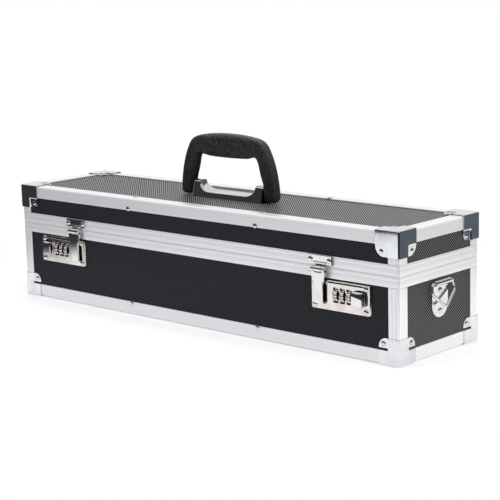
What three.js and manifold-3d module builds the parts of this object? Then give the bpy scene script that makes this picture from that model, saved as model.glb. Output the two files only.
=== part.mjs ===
// A long hard case for chef's knives: black boards in an aluminium frame, a lid on two rear hinges, two
// combination latches at the front, a folding handle on top and a strap ring at each end.
// Millimetres, X along the case, the latches face -Y, Z up, the feet of the case stand on Z = 0.
import * as THREE from "three";
import { mergeVertices } from "three/addons/utils/BufferGeometryUtils.js";
import Module from "manifold-3d";

// The case as a whole
const caseLength = 560;
const caseWidth = 135;
const caseHeight = 134; // to the top of the lid's frame, without the handle
const lidHeight = 44; // from the lid's rim to the top of its frame
const seamGap = 0.3; // between the two rims
const seatGap = 0.2; // between pieces that lie on each other
const runGap = 0.3; // between a moving piece and what it runs in

// Boards and aluminium
const boardThickness = 5;
const sheet = 1.2; // wall of the aluminium profiles
const edgeRadius = 2.4; // outer rounding of the frames
const frameWidth = 14; // bottom and top frames, on both of their faces
const rimHeight = 11.2; // outer face of each rim
const rimInnerHeight = 8; // inner leg of each rim
const postWidth = 13.4; // upright corner profiles, on both of their faces
const tongueInset = 3; // from the rim's outer face to the seal tongue
const tongueWidth = 1.2;
const tongueHeight = 2.2;
const grooveClearance = 0.6; // on each side of the tongue
const grooveExtra = 0.5; // depth of the groove beyond the tongue

// Sheet-metal corners
const cornerSheet = 0.8;
const lidCornerProud = 1.2; // outer face of a lid corner in front of the frame
const lidCornerLength = 28;
const lidCornerWidth = 27;
const lidCornerHeight = 26;
const baseCornerProud = 0.95;
const baseCornerReach = 25.5;
const baseCornerHeight = 26.5;
const baseCornerSlit = 2.3; // open slit under the tab of a base corner
const tabRadius = 9; // rounded outer corner of a tab

// Rivets
const rivetRadius = 2.8;
const rivetHeight = 1.3;
const rivetSink = 0.3; // how far a rivet's head is let into its sheet
const frameRivetSpacing = 191; // between the two rivets on a long frame
const frameRivetInset = 12; // from the case's edge to those rivets

// Latches, measured from the hasp's centre line, the case's front face and the top of the base
const latchInset = 96.5; // from the case's end to the hasp's centre
const plateOverhang = 11.5; // of the lock plate beyond the hasp's centre, towards the middle
const plateDrop = 13.7; // from the seam to the plate's upper edge
const plateProud = 1.5;
const plateSkin = 1.2;
const plateRivetInset = 3.9;
const plateRivetDrop = 3.1; // from the plate's upper edge to its upper rivets
const plateRivetRadius = 2.6;
const plateRivetHeight = 1.2;
const housingInset = 21.5; // from the plate's inner end to the lock housing
const housingEndInset = 6.7; // from the plate's outer end to the lock housing
const housingRim = 2; // of the plate above and below the housing
const housingWall = 1.2;
const dialCount = 3;
const dialPitch = 8.35;
const dialRadius = 8.5;
const dialWidth = 6;
const dialProud = 4.5;
const dialTopGap = 1.6; // in the housing above the dials
const firstDial = 19.4; // from the hasp's centre
const shaftRadius = 1.5;
const windowClearance = 0.35; // round each dial in its window
const sliderWidth = 14.6;
const sliderHeight = 14.6;
const sliderProud = 7;
const sliderPitch = 14; // from the last dial's centre to the button's centre
const sliderInset = 12.4; // from the plate's outer end to the button's centre
const sliderTravel = 4;
const sliderHollow = 1.4; // depth of the thumb hollow in the button
const thumbShare = 0.45; // of the button's half width, from its middle to where the hollow starts
const stemWidth = 4;
const stemInset = 3.2; // from the button's inner edge to its stem
const boltThickness = 1.2;
const boltHeight = 3.4;
const boltGap = 0.8; // between the dials and the bolt
const haspPinOut = 4.4; // from the front face to the hasp's pin
const haspPinDrop = 2; // from the seam to the hasp's pin
const barrelRadius = 3.2;
const haspPinRadius = 1.25;
const headWidth = 17.4;
const haspKnuckle = 4.1; // width of each of the hasp's two knuckles
const armWidth = 11;
const armFlange = 1; // thickness of the arm's folded sides
const armFlangeDepth = 4; // from the arm's front to the edge of its folded sides
const armFlangeTop = 17; // from the seam down to where the sides are folded
const bridgeGap = 0.4; // between the keeper's knuckle and the hasp's bridge
const armInset = 6; // from the plate's lower edge to the arm's lower end
const armThickness = 3;
const armProud = 6;
const lugWidth = 8;
const lugHeight = 3.5;
const lugTip = 0.9; // behind the front face
const slotTop = 18.2; // from the seam down to the hasp slot
const slotWidth = 16.4;
const slotEndGap = 0.5; // under the lug
const keeperWidth = 32;
const keeperLift = 2.6; // from the seam up to the keeper's lower edge
const keeperTop = 11.4;
const keeperThickness = 2.2;
const keeperRivetSpacing = 24;

// Rear hinges
const hingeInset = 110; // from the case's end to a hinge's middle
const hingeWidth = 44;
const hingeLeafStart = 3.6; // from the seam to each leaf
const hingeLeafEnd = 10.9;
const hingeLeafThickness = 1.2;
const hingePinOut = 4.4; // from the back face to the hinge pin
const hingePinRadius = 1.4;
const hingePinHead = 0.9; // length of each head beyond the knuckles
const hingeWeb = 1.7; // height of the web from leaf to knuckle
const knuckleGap = 0.3; // between neighbouring knuckles
const hingeRivetInset = 6;
const hingeRivetRadius = 1.7;

// Handle
const pinLift = 8.7; // from the lid's board up to the handle's pins
const handleRise = 64.7; // from the pins to the top of the grip
const handleHalfSpan = 69.2; // from the middle to the outside of a leg at its foot
const legWidth = 14.3;
const legDepth = 14;
const legTaper = 1.2; // how far a leg's inner face leans in beside the bracket
const toeRadius = 3.5; // lower corners of each leg, seen from the front
const gripDepth = 17.6;
const gripSag = 5; // how far the grip's rounded belly hangs below its faces
const gripHalfLength = 46;
const handleEdge = 2; // rounding of the handle's edges
const handlePinRadius = 2.5;
const handlePinLength = 9;
const bracketDepth = 18;
const bracketSheet = 1.2;
const bracketEndHeight = 15.2;
const bracketDipHeight = 6;
const bracketDipHalf = 28; // half length of the low stretch
const bracketRamp = 12; // length of each curved rise

// Strap rings
const strapWidth = 27;
const strapLength = 36; // from the ring's pivot down to the plate's rounded foot
const strapTopGap = 1.3; // between the base's rim and the fold
const ringPivotOut = 2.9; // from the end face
const strapPlate = 1.5;
const strapFold = 3.2; // outer radius of the fold that holds the ring
const wireRadius = 1.5;
const ringClearance = 0.5;
const ringTopHalf = 17;
const ringHalf = 20;
const ringShoulderDrop = 5.5; // from the bar down to the ring's widest place
const ringDrop = 23.6; // from the bar down to the tip
const ringBend = 2.4; // trimmed from each side of the ring's upper bends
const ringTipBend = 4.5; // and of the tip's
const ringButtGap = 0.6; // where the wire's ends meet inside the fold
const strapRivetDrop = 8; // from the pivot down to the upper rivet
const strapRivetInset = 7; // from the foot up to the lower rivet

// Lining and racks
const linerGap = 0.3;
const linerWall = 3;
const linerFloor = 4;
const linerPocketSkin = 1.8; // foam left between a lock and the hollow
const lidPadThickness = 8;
const rackThickness = 26;
const rackHeight = 50;
const rackInset = 115; // from the case's end to the middle of a rack
const rackSlots = 4;
const bladeSlotWidth = 6;
const bladeSlotDepth = 36;
const handleNotchWidth = 18;
const handleNotchDepth = 24;

// How finely curves are faceted, and the reach of a cutting tool beyond what it cuts
const overrun = 1;
const weldDistance = 1e-4;
const arcSteps = 3;
const barrelSides = 20;
const dialSides = 30;
const rivetSides = 10;
const rampSteps = 6;
const ringSteps = 56;
const wireSides = 8;

// Sizes that follow
const halfLength = caseLength / 2;
const halfWidth = caseWidth / 2;
const seamHeight = caseHeight - lidHeight - seamGap; // top of the base's rim
const frontFace = -halfWidth;
const floorLift = baseCornerProud; // the base's frame rides on its corners
const boardInset = sheet + seatGap;
const lidBottom = seamHeight + seamGap;
const latchOffset = halfLength - latchInset; // of each hasp from the middle of the case
const sliderOffset = firstDial + dialPitch * (dialCount - 1) + sliderPitch; // from the hasp's centre
const plateLength = plateOverhang + sliderOffset + sliderInset;
const housingMargin = housingRim + housingWall;
const plateHeight = 2 * (housingMargin + dialRadius) + dialTopGap + boltGap + boltHeight + seatGap;
const dialDrop = plateDrop + housingMargin + dialTopGap + dialRadius; // from the seam to the dials' axle
const housingDepth = 2 * dialRadius - dialProud + runGap + housingWall; // behind the front face
const armStart = haspPinDrop + barrelRadius + bridgeGap; // from the seam down to the arm's upper end
const armEnd = plateDrop + plateHeight - armInset; // from the seam down to the arm's lower end
const ringPivotHeight = seamHeight - rimHeight - strapTopGap - strapFold;
const topBoardFace = caseHeight - boardInset;
const floorBoardTop = floorLift + boardInset + boardThickness;
const rimDepth = sheet * 2 + seatGap * 2 + boardThickness;
const innerInset = boardInset + boardThickness; // from the outer faces to the boards' inner faces
const grooveDepth = tongueHeight + grooveExtra;
const hingeAxisHeight = seamHeight + seamGap / 2;
const handlePinHeight = topBoardFace + pinLift;
const frontLining = housingDepth + linerGap + linerPocketSkin; // from the front face to the tray's hollow
const bracketHalfLength = handleHalfSpan - legWidth - legTaper - runGap;
const bracketSweep = Math.hypot(bracketDepth / 2, pinLift) + runGap; // clear of the bracket from the pins on

const finish = {
  board: { color: 0x333338, roughness: 0.55, metalness: 0 },
  aluminium: { color: 0xdcdde0, roughness: 0.38, metalness: 0.9 },
  chrome: { color: 0xd2d6da, roughness: 0.08, metalness: 1 },
  nickel: { color: 0xdcd7d3, roughness: 0.25, metalness: 1 },
  steel: { color: 0x9a9ca0, roughness: 0.35, metalness: 1 },
  plastic: { color: 0x1c1c1f, roughness: 0.6, metalness: 0 },
  foam: { color: 0x2a2a2d, roughness: 0.95, metalness: 0 },
};

const wasm = await Module();
wasm.setup();

// Geometry as a closed solid that can be joined and cut.
function solidOf(shape) {
  if (!shape.isBufferGeometry) return shape;
  const bare = shape.clone();
  bare.deleteAttribute("normal");
  bare.deleteAttribute("uv");
  const welded = mergeVertices(bare, weldDistance);
  const vertProperties = new Float32Array(welded.attributes.position.array);
  const triVerts = new Uint32Array(welded.index.array);
  return new wasm.Manifold(new wasm.Mesh({ numProp: 3, vertProperties, triVerts }));
}

function join(first, ...others) {
  return others.reduce((sum, shape) => sum.add(solidOf(shape)), solidOf(first));
}

function cut(first, ...tools) {
  return tools.reduce((rest, shape) => rest.subtract(solidOf(shape)), solidOf(first));
}

function common(first, second) {
  return solidOf(first).intersect(solidOf(second));
}

function geometryOf(shape) {
  if (shape.isBufferGeometry) return shape;
  const { vertProperties, triVerts } = shape.getMesh();
  const geometry = new THREE.BufferGeometry();
  geometry.setAttribute("position", new THREE.BufferAttribute(vertProperties, 3));
  geometry.setIndex(new THREE.BufferAttribute(triVerts, 1));
  const faceted = geometry.toNonIndexed();
  faceted.computeVertexNormals();
  return faceted;
}

function piece(name, shape, look) {
  const mesh = new THREE.Mesh(geometryOf(shape), new THREE.MeshStandardMaterial(look));
  mesh.name = name;
  return mesh;
}

// A box between two corners.
function block([x0, y0, z0], [x1, y1, z1]) {
  const box = new THREE.BoxGeometry(x1 - x0, y1 - y0, z1 - z0);
  return box.translate((x0 + x1) / 2, (y0 + y1) / 2, (z0 + z1) / 2);
}

function shapeOf(points) {
  return new THREE.Shape(points.map(([a, b]) => new THREE.Vector2(a, b)));
}

function extruded(shape, depth) {
  return new THREE.ExtrudeGeometry(shape, { depth, bevelEnabled: false });
}

const X = new THREE.Vector3(1, 0, 0);
const Y = new THREE.Vector3(0, 1, 0);
const Z = new THREE.Vector3(0, 0, 1);

// An outline in Y and Z, carried along X.
function alongX(points, x0, x1) {
  const turn = new THREE.Matrix4().makeBasis(Y, Z, X);
  return extruded(shapeOf(points), x1 - x0).applyMatrix4(turn).translate(x0, 0, 0);
}

// An outline in X and Z, carried along Y.
function alongY(points, y0, y1) {
  const turn = new THREE.Matrix4().makeBasis(X, Z, Y.clone().negate());
  return extruded(shapeOf(points), y1 - y0).applyMatrix4(turn).translate(0, y1, 0);
}

// An outline in X and Y, carried up Z.
function alongZ(points, z0, z1) {
  return extruded(shapeOf(points), z1 - z0).translate(0, 0, z0);
}

// A round bar along X, its axis at a given Y and Z.
function bar(radius, x0, x1, y, z, sides = barrelSides) {
  const round = new THREE.CylinderGeometry(radius, radius, x1 - x0, sides);
  return round.rotateZ(-Math.PI / 2).translate((x0 + x1) / 2, y, z);
}

// A round bar along Y, its axis at a given X and Z.
function barY(radius, y0, y1, x, z) {
  const round = new THREE.CylinderGeometry(radius, radius, y1 - y0, barrelSides);
  return round.translate(x, (y0 + y1) / 2, z);
}

// Points round a centre, from one share of a turn to another.
function arc(cx, cy, radius, fromTurn, toTurn, steps = arcSteps) {
  return Array.from({ length: steps + 1 }, (_, i) => {
    const angle = 2 * Math.PI * (fromTurn + ((toTurn - fromTurn) * i) / steps);
    return [cx + radius * Math.cos(angle), cy + radius * Math.sin(angle)];
  });
}

// A rivet's domed head at a point, standing out along a direction.
function rivet(point, direction, radius = rivetRadius, height = rivetHeight) {
  const flank = [radius, height * 0.25];
  const crown = [radius * 0.62, height * 0.8];
  const profile = [[0, -rivetSink], [radius, -rivetSink], flank, crown, [0, height]];
  const head = new THREE.LatheGeometry(profile.map(([r, h]) => new THREE.Vector2(r, h)), rivetSides);
  head.applyQuaternion(new THREE.Quaternion().setFromUnitVectors(Y, direction));
  return head.translate(...point);
}

const towardsFront = Y.clone().negate();
const towardsBack = Y;
const towardsEnd = X;
const upwards = Z;
const downwards = Z.clone().negate();

// A closed profile of [inset from the outer face, height], carried round the case with mitred corners: a
// four-sided lathe whose corners are pulled apart to the case's length and width. The profile runs down
// its outer side first.
function mitredFrame(profile) {
  const reach = (inset) => (halfWidth - inset) * Math.SQRT2;
  const points = profile.map(([inset, height]) => new THREE.Vector2(reach(inset), height));
  points.reverse().push(points[0].clone());
  const ring = new THREE.LatheGeometry(points, 4, Math.PI / 4);
  ring.rotateX(Math.PI / 2);
  const place = ring.attributes.position;
  const stretch = halfLength - halfWidth;
  for (let i = 0; i < place.count; i++) place.setX(i, place.getX(i) + Math.sign(place.getX(i)) * stretch);
  return ring;
}

// The case's outline with rounded upright corners, for trimming the frames.
function roundedBody(z0, z1) {
  const x = halfLength - edgeRadius;
  const y = halfWidth - edgeRadius;
  const outline = [
    ...arc(x, y, edgeRadius, 0, 0.25),
    ...arc(-x, y, edgeRadius, 0.25, 0.5),
    ...arc(-x, -y, edgeRadius, 0.5, 0.75),
    ...arc(x, -y, edgeRadius, 0.75, 1),
  ];
  return alongZ(outline, z0, z1);
}

// The angle profile of the bottom frame, standing a little above the floor.
function bottomFrame() {
  const low = floorLift;
  const round = arc(edgeRadius, low + edgeRadius, edgeRadius, 0.5, 0.75);
  const profile = [
    ...round,
    [frameWidth, low],
    [frameWidth, low + sheet],
    [sheet, low + sheet],
    [sheet, low + frameWidth],
    [0, low + frameWidth],
  ];
  const frame = common(mitredFrame(profile), roundedBody(0, seamHeight));
  return join(frame, ...frameRivets(low + frameRivetInset, low, downwards));
}

function topFrame() {
  const top = caseHeight;
  const round = arc(edgeRadius, top - edgeRadius, edgeRadius, 0.25, 0.5);
  const profile = [
    ...round,
    [0, top - frameWidth],
    [sheet, top - frameWidth],
    [sheet, top - sheet],
    [frameWidth, top - sheet],
    [frameWidth, top],
  ];
  const frame = common(mitredFrame(profile), roundedBody(lidBottom, top + overrun));
  return join(frame, ...frameRivets(top - frameRivetInset, top, upwards));
}

// Two rivets on the upright and two on the flat face of each long side of a frame.
function frameRivets(uprightHeight, flatHeight, flatDirection) {
  const heads = [];
  for (const x of [-frameRivetSpacing / 2, frameRivetSpacing / 2]) {
    heads.push(rivet([x, -halfWidth, uprightHeight], towardsFront));
    heads.push(rivet([x, halfWidth, uprightHeight], towardsBack));
    if (flatDirection === downwards) continue; // the underside stays flat
    heads.push(rivet([x, frameRivetInset - halfWidth, flatHeight], flatDirection));
    heads.push(rivet([x, halfWidth - frameRivetInset, flatHeight], flatDirection));
  }
  return heads;
}

// The base's rim: a channel over the boards' upper edges, with a tongue that enters the lid's groove.
function baseRim() {
  const top = seamHeight;
  const profile = [
    [0, top - rimHeight],
    [sheet, top - rimHeight],
    [sheet, top - sheet],
    [rimDepth - sheet, top - sheet],
    [rimDepth - sheet, top - rimInnerHeight],
    [rimDepth, top - rimInnerHeight],
    [rimDepth, top],
    [tongueInset + tongueWidth, top],
    [tongueInset + tongueWidth, top + tongueHeight],
    [tongueInset, top + tongueHeight],
    [tongueInset, top],
    [0, top],
  ];
  return common(mitredFrame(profile), roundedBody(0, caseHeight));
}

function lidRim() {
  const low = lidBottom;
  const grooveOuter = tongueInset - grooveClearance;
  const grooveInner = tongueInset + tongueWidth + grooveClearance;
  const profile = [
    [0, low],
    [grooveOuter, low],
    [grooveOuter, low + grooveDepth],
    [grooveInner, low + grooveDepth],
    [grooveInner, low],
    [rimDepth, low],
    [rimDepth, low + rimInnerHeight],
    [rimDepth - sheet, low + rimInnerHeight],
    [rimDepth - sheet, low + grooveDepth + sheet],
    [sheet, low + grooveDepth + sheet],
    [sheet, low + rimHeight],
    [0, low + rimHeight],
  ];
  return common(mitredFrame(profile), roundedBody(0, caseHeight));
}

// An upright angle at the case's front right corner.
function post(z0, z1) {
  const x = halfLength;
  const y = -halfWidth;
  const outline = [
    [x - postWidth, y],
    ...arc(x - edgeRadius, y + edgeRadius, edgeRadius, 0.75, 1),
    [x, y + postWidth],
    [x - sheet, y + postWidth],
    [x - sheet, y + sheet],
    [x - postWidth, y + sheet],
  ];
  return alongZ(outline, z0, z1);
}

// One face of a pressed corner, drawn in its own plane: a runs in from the first edge, b from the second,
// and depth into the case. Over the frames it is a raised angle. Beyond them a rounded tab steps down to the
// board, joined by a wall on each side that has no slit.
function cornerFace({ reach, frames, slits, proud }) {
  const [reachA, reachB] = reach;
  const [wallA, wallB] = frames.map((width) => width + seatGap);
  const [bendA, bendB] = slits.map((slit) => (slit ? 0 : cornerSheet));
  const tabInner = boardInset - seatGap;
  const tabOuter = tabInner - cornerSheet;
  const raised = alongZ([
    [-proud, -proud],
    [reachA, -proud],
    [reachA, wallB + bendB],
    [wallA + bendA, wallB + bendB],
    [wallA + bendA, reachB],
    [-proud, reachB],
  ], -proud, cornerSheet - proud);
  const start = [wallA + slits[0], wallB + slits[1]];
  const tab = alongZ([
    start,
    [reachA, start[1]],
    ...arc(reachA - tabRadius, reachB - tabRadius, tabRadius, 0, 0.25, arcSteps * 2),
    [start[0], reachB],
  ], tabOuter, tabInner);
  const walls = [];
  if (bendA) walls.push(block([wallA, start[1], -proud], [wallA + cornerSheet, reachB, tabInner]));
  if (bendB) walls.push(block([start[0], wallB, -proud], [reachA, wallB + cornerSheet, tabInner]));
  const middle = [(wallA + cornerSheet + reachA) / 2, (start[1] + reachB) / 2, tabOuter];
  return geometryOf(join(raised, tab, ...walls, rivet(middle, downwards)));
}

// Three such faces. X, Y and Z run in from the case's end, its side and its floor or top.
function corner({ length, width, height, proud, slit }) {
  const frames = [frameWidth, postWidth];
  const flat = cornerFace({ reach: [length, width], frames: [frameWidth, frameWidth], slits: [0, 0], proud });
  const side = cornerFace({ reach: [height, length], frames, slits: [slit, 0], proud });
  const end = cornerFace({ reach: [width, height], frames: frames.toReversed(), slits: [0, slit], proud });
  side.applyMatrix4(new THREE.Matrix4().makeBasis(Z, X, Y));
  end.applyMatrix4(new THREE.Matrix4().makeBasis(Y, Z, X));
  return join(flat, side, end);
}

// The boards. Front and back boards run the full length, the end boards stand between them.
function longBoard(z0, z1, cutouts = []) {
  const x = halfLength - boardInset;
  const board = block([-x, frontFace + boardInset, z0], [x, frontFace + innerInset, z1]);
  return cutouts.length ? cut(board, ...cutouts) : board;
}

function endBoard(z0, z1) {
  const y = halfWidth - innerInset - seatGap;
  return block([halfLength - innerInset, -y, z0], [halfLength - boardInset, y, z1]);
}

function flatBoard(z0, z1) {
  const x = halfLength - boardInset;
  const y = halfWidth - boardInset;
  return block([-x, -y, z0], [x, y, z1]);
}

// A box round both lock housings, grown by a margin, between two depths behind the front face.
function housingCuts(margin, front, back) {
  const near = latchOffset + housingInset - plateOverhang - margin;
  const far = latchOffset + plateLength - plateOverhang - housingEndInset + margin;
  const top = seamHeight - plateDrop - housingRim + margin;
  const low = seamHeight - plateDrop - plateHeight + housingRim - margin;
  const spans = [[near, far], [-far, -near]];
  return spans.map(([x0, x1]) => block([x0, frontFace + front, low], [x1, frontFace + back, top]));
}

// The lining of the base: a foam tray whose front wall is thick enough to cover the locks.
function baseLiner() {
  const x = halfLength - innerInset - linerGap;
  const y = halfWidth - innerInset - linerGap;
  const low = floorBoardTop + linerGap;
  const top = seamHeight - rimInnerHeight - linerGap;
  const tray = block([-x, -y, low], [x, y, top]);
  const hollow = block(
    [-x + linerWall, frontFace + frontLining, low + linerFloor],
    [x - linerWall, y - linerWall, top + overrun],
  );
  return cut(tray, hollow, ...housingCuts(linerGap * 2, 0, housingDepth + linerGap));
}

function lidLiner() {
  const x = halfLength - innerInset - linerGap;
  const y = halfWidth - innerInset - linerGap;
  const top = topBoardFace - boardThickness - linerGap;
  return block([-x, -y, top - lidPadThickness], [x, y, top]);
}

// A foam block across the hollow with upright cuts, each ending in a rounded floor.
function rack(cutWidth, cutDepth) {
  const low = floorBoardTop + linerGap + linerFloor + linerGap;
  const y0 = frontFace + frontLining + linerGap;
  const y1 = halfWidth - innerInset - linerGap - linerWall - linerGap;
  const pitch = (y1 - y0) / rackSlots;
  const top = low + rackHeight;
  const outline = [[y0, low], [y1, low], [y1, top]];
  for (let i = rackSlots - 1; i >= 0; i--) {
    const middle = y0 + pitch * (i + 0.5);
    const floor = top - cutDepth + cutWidth / 2;
    outline.push([middle + cutWidth / 2, top]);
    outline.push(...arc(middle, floor, cutWidth / 2, 0, -0.5, arcSteps * 2));
    outline.push([middle - cutWidth / 2, top]);
  }
  outline.push([y0, top]);
  return alongX(outline, -rackThickness / 2, rackThickness / 2);
}

// The latch, drawn for the right-hand side. X runs out from the hasp's centre towards the case's end, Y from
// the front face into the case, Z up from the seam.
const plateInnerEnd = -plateOverhang;
const plateOuterEnd = plateLength - plateOverhang;
const plateTop = -plateDrop;
const plateLow = -plateDrop - plateHeight;
const skinBack = plateSkin - plateProud; // inner side of the plate's skin
const boardFace = boardInset - seatGap; // back of everything that lies on a board
const cavityNear = plateInnerEnd + housingInset + housingWall;
const cavityFar = plateOuterEnd - housingEndInset - housingWall;
const cavityTop = plateTop - housingMargin;
const cavityLow = plateLow + housingMargin;
const dialDepth = dialRadius - dialProud; // the dials' axle behind the front face
const boltLow = cavityLow + seatGap;
const boltDepth = skinBack + seatGap;
const stemStart = sliderOffset - sliderWidth / 2 + stemInset;
const stemHalf = sliderHeight / 2 - stemInset;

function dialPlace(index) {
  return firstDial + dialPitch * index;
}

function lockBody() {
  const plate = block([plateInnerEnd, -plateProud, plateLow], [plateOuterEnd, boardFace, plateTop]);
  const housing = block(
    [cavityNear - housingWall, boardFace - seatGap, cavityLow - housingWall],
    [cavityFar + housingWall, housingDepth, cavityTop + housingWall],
  );
  const cavity = block([cavityNear, skinBack, cavityLow], [cavityFar, housingDepth - housingWall, cavityTop]);
  const slotLow = -armEnd - slotEndGap;
  const slotHalf = slotWidth / 2;
  const slot = block([-slotHalf, -plateProud - overrun, slotLow], [slotHalf, boardFace + overrun, -slotTop]);
  const channel = block(
    [-slotHalf, skinBack, boltLow - seatGap],
    [cavityNear + overrun, boardFace + overrun, boltLow + boltHeight + runGap],
  );
  const windowHalf = Math.sqrt(dialRadius ** 2 - (dialDepth - skinBack) ** 2) + windowClearance;
  const windows = Array.from({ length: dialCount }, (_, i) => {
    const half = dialWidth / 2 + windowClearance;
    const x = dialPlace(i);
    const low = -dialDrop - windowHalf;
    return block([x - half, -plateProud - overrun, low], [x + half, 0, low + 2 * windowHalf]);
  });
  const track = block(
    [stemStart - runGap, -plateProud - overrun, -dialDrop - stemHalf - runGap],
    [stemStart + stemWidth + sliderTravel + runGap, 0, stemHalf + runGap - dialDrop],
  );
  const shell = cut(join(plate, housing), cavity, slot, channel, ...windows, track);
  const axle = bar(shaftRadius, cavityNear - seatGap, cavityFar + seatGap, dialDepth, -dialDrop);
  const inset = plateRivetInset;
  const heads = [];
  for (const x of [plateInnerEnd + inset, plateOuterEnd - inset]) {
    for (const z of [plateTop - plateRivetDrop, plateLow + inset]) {
      heads.push(rivet([x, -plateProud, z], towardsFront, plateRivetRadius, plateRivetHeight));
    }
  }
  return join(shell, axle, ...heads);
}

// A number wheel: ten flats round the rim, and a bore for the axle.
function dial() {
  const wheel = new THREE.CylinderGeometry(dialRadius, dialRadius, dialWidth, dialSides).rotateZ(Math.PI / 2);
  return cut(wheel, bar(shaftRadius + runGap, -dialWidth, dialWidth, 0, 0));
}

// The release button outside, its stem through the plate, and the bolt bar that runs under the dials.
function slider() {
  const out = sliderOffset;
  const half = sliderWidth / 2;
  const middle = -dialDrop;
  const back = -plateProud - runGap;
  const low = middle - sliderHeight / 2;
  const button = block([out - half, -sliderProud, low], [out + half, back, low + sliderHeight]);
  const thumbCentre = sliderHollow - sliderProud - sliderHeight;
  const hollow = bar(sliderHeight, out - half * thumbShare, out + half + overrun, thumbCentre, middle);
  const inside = boltDepth + boltThickness;
  const stemEnd = stemStart + stemWidth;
  const stem = block([stemStart, back - seatGap, middle - stemHalf], [stemEnd, inside, middle + stemHalf]);
  const drop = block([stemStart, boltDepth, boltLow], [stemEnd, inside, middle]);
  const bolt = block([lugWidth / 2 + runGap, boltDepth, boltLow], [stemEnd, inside, boltLow + boltHeight]);
  return join(cut(button, hollow), stem, drop, bolt);
}

// The hasp: two knuckles on the keeper's pin, the arm that lies over the lock plate and the lug in its slot.
function hasp() {
  const arms = [];
  const pinCentre = [-haspPinOut, -haspPinDrop];
  const half = headWidth / 2;
  const back = armThickness - armProud;
  const bridgeLow = -armStart - armThickness;
  for (const [x0, x1] of [[-half, haspKnuckle - half], [half - haspKnuckle, half]]) {
    const neck = block([x0, -armProud, bridgeLow], [x1, back, -haspPinDrop]);
    const bore = bar(haspPinRadius + runGap, x0 - overrun, x1 + overrun, ...pinCentre);
    arms.push(cut(join(bar(barrelRadius, x0, x1, ...pinCentre), neck), bore));
  }
  const bridge = block([-half, -armProud, bridgeLow], [half, back, -armStart]);
  const arm = block([-armWidth / 2, -armProud, -armEnd], [armWidth / 2, back, -armStart]);
  const lug = block([-lugWidth / 2, back - overrun, -armEnd], [lugWidth / 2, lugTip, lugHeight - armEnd]);
  for (const side of [-1, 1]) {
    const x = side * (armWidth - armFlange) / 2;
    const reach = armFlange / 2;
    arms.push(block([x - reach, -armProud, -armEnd], [x + reach, armFlangeDepth - armProud, -armFlangeTop]));
  }
  return join(bridge, arm, lug, ...arms);
}

// The keeper on the lid's rim, with the middle knuckle and the pin that the hasp turns on.
function keeper() {
  const back = -seatGap;
  const front = -seatGap - keeperThickness;
  const plate = block([-keeperWidth / 2, front, keeperLift], [keeperWidth / 2, back, keeperTop]);
  const half = headWidth / 2 - haspKnuckle - knuckleGap;
  const knuckle = bar(barrelRadius, -half, half, -haspPinOut, -haspPinDrop);
  const web = alongX([
    [back, keeperLift + seatGap],
    [front, keeperLift + seatGap],
    [-haspPinOut, barrelRadius - haspPinDrop],
    [-haspPinOut, -haspPinDrop],
    [back - seatGap, -haspPinDrop + barrelRadius / 2],
  ], -half, half);
  const pinHalf = headWidth / 2 + seatGap;
  const pin = bar(haspPinRadius, -pinHalf, pinHalf, -haspPinOut, -haspPinDrop);
  const heads = [-1, 1].map((side) =>
    rivet([(side * keeperRivetSpacing) / 2, front, (keeperLift + keeperTop) / 2], towardsFront));
  return join(plate, web, knuckle, pin, ...heads);
}

// A rear hinge, drawn at its pin: X along it, Y out of the case, Z up. A leaf is drawn for the lid, and the
// base's is its mirror image.
function hingeLeaf(knuckles) {
  const inner = seatGap - hingePinOut;
  const outer = inner + hingeLeafThickness;
  const start = hingeLeafStart - seamGap / 2;
  const leaf = block([-hingeWidth / 2, inner, start], [hingeWidth / 2, outer, hingeLeafEnd - seamGap / 2]);
  const barrels = knuckles.map(([x0, x1]) => {
    const web = alongX([
      [inner, start + seatGap],
      [inner, start - hingeWeb],
      [0, 0],
      [0, barrelRadius],
      [outer, start + seatGap],
    ], x0, x1);
    const barrel = join(bar(barrelRadius, x0, x1, 0, 0), web);
    return cut(barrel, bar(hingePinRadius + runGap, x0 - overrun, x1 + overrun, 0, 0));
  });
  const middle = (start + hingeLeafEnd) / 2;
  const heads = [-1, 1].map((side) =>
    rivet([side * (hingeWidth / 2 - hingeRivetInset), outer, middle], towardsBack, hingeRivetRadius));
  return join(leaf, ...barrels, ...heads);
}

const hingeThird = hingeWidth / 3;
const lidKnuckles = [[-hingeThird / 2, hingeThird / 2]];
const baseKnuckles = [
  [-hingeWidth / 2, -hingeThird / 2 - knuckleGap],
  [hingeThird / 2 + knuckleGap, hingeWidth / 2],
];

function hingePin() {
  const half = hingeWidth / 2 + knuckleGap;
  const heads = [[-half - hingePinHead, -half], [half, half + hingePinHead]];
  const headRadius = (hingePinRadius + barrelRadius) / 2;
  const ends = heads.map(([x0, x1]) => bar(headRadius, x0, x1, 0, 0));
  return join(bar(hingePinRadius, -half - seatGap, half + seatGap, 0, 0), ...ends);
}

// The handle, drawn at its pins: X along the case, Z up. A pair of shares is [of the half span, of the
// rise], from the foot of the right leg up to the middle of the grip.
const legOuterShares = [[1, 0.05], [0.985, 0.2], [0.95, 0.4], [0.89, 0.6], [0.82, 0.76], [0.765, 0.85]];
const crestShares = [[0.69, 0.91], [0.58, 0.95], [0.4, 0.98], [0.2, 0.995], [0, 1]];
const legInnerShares = [[0.743, 0.27], [0.72, 0.4], [0.675, 0.58], [0.65, 0.63], [0.6, 0.665]];
const gripUnderShares = [[0.45, 0.66], [0.25, 0.645], [0, 0.64]];

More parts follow.
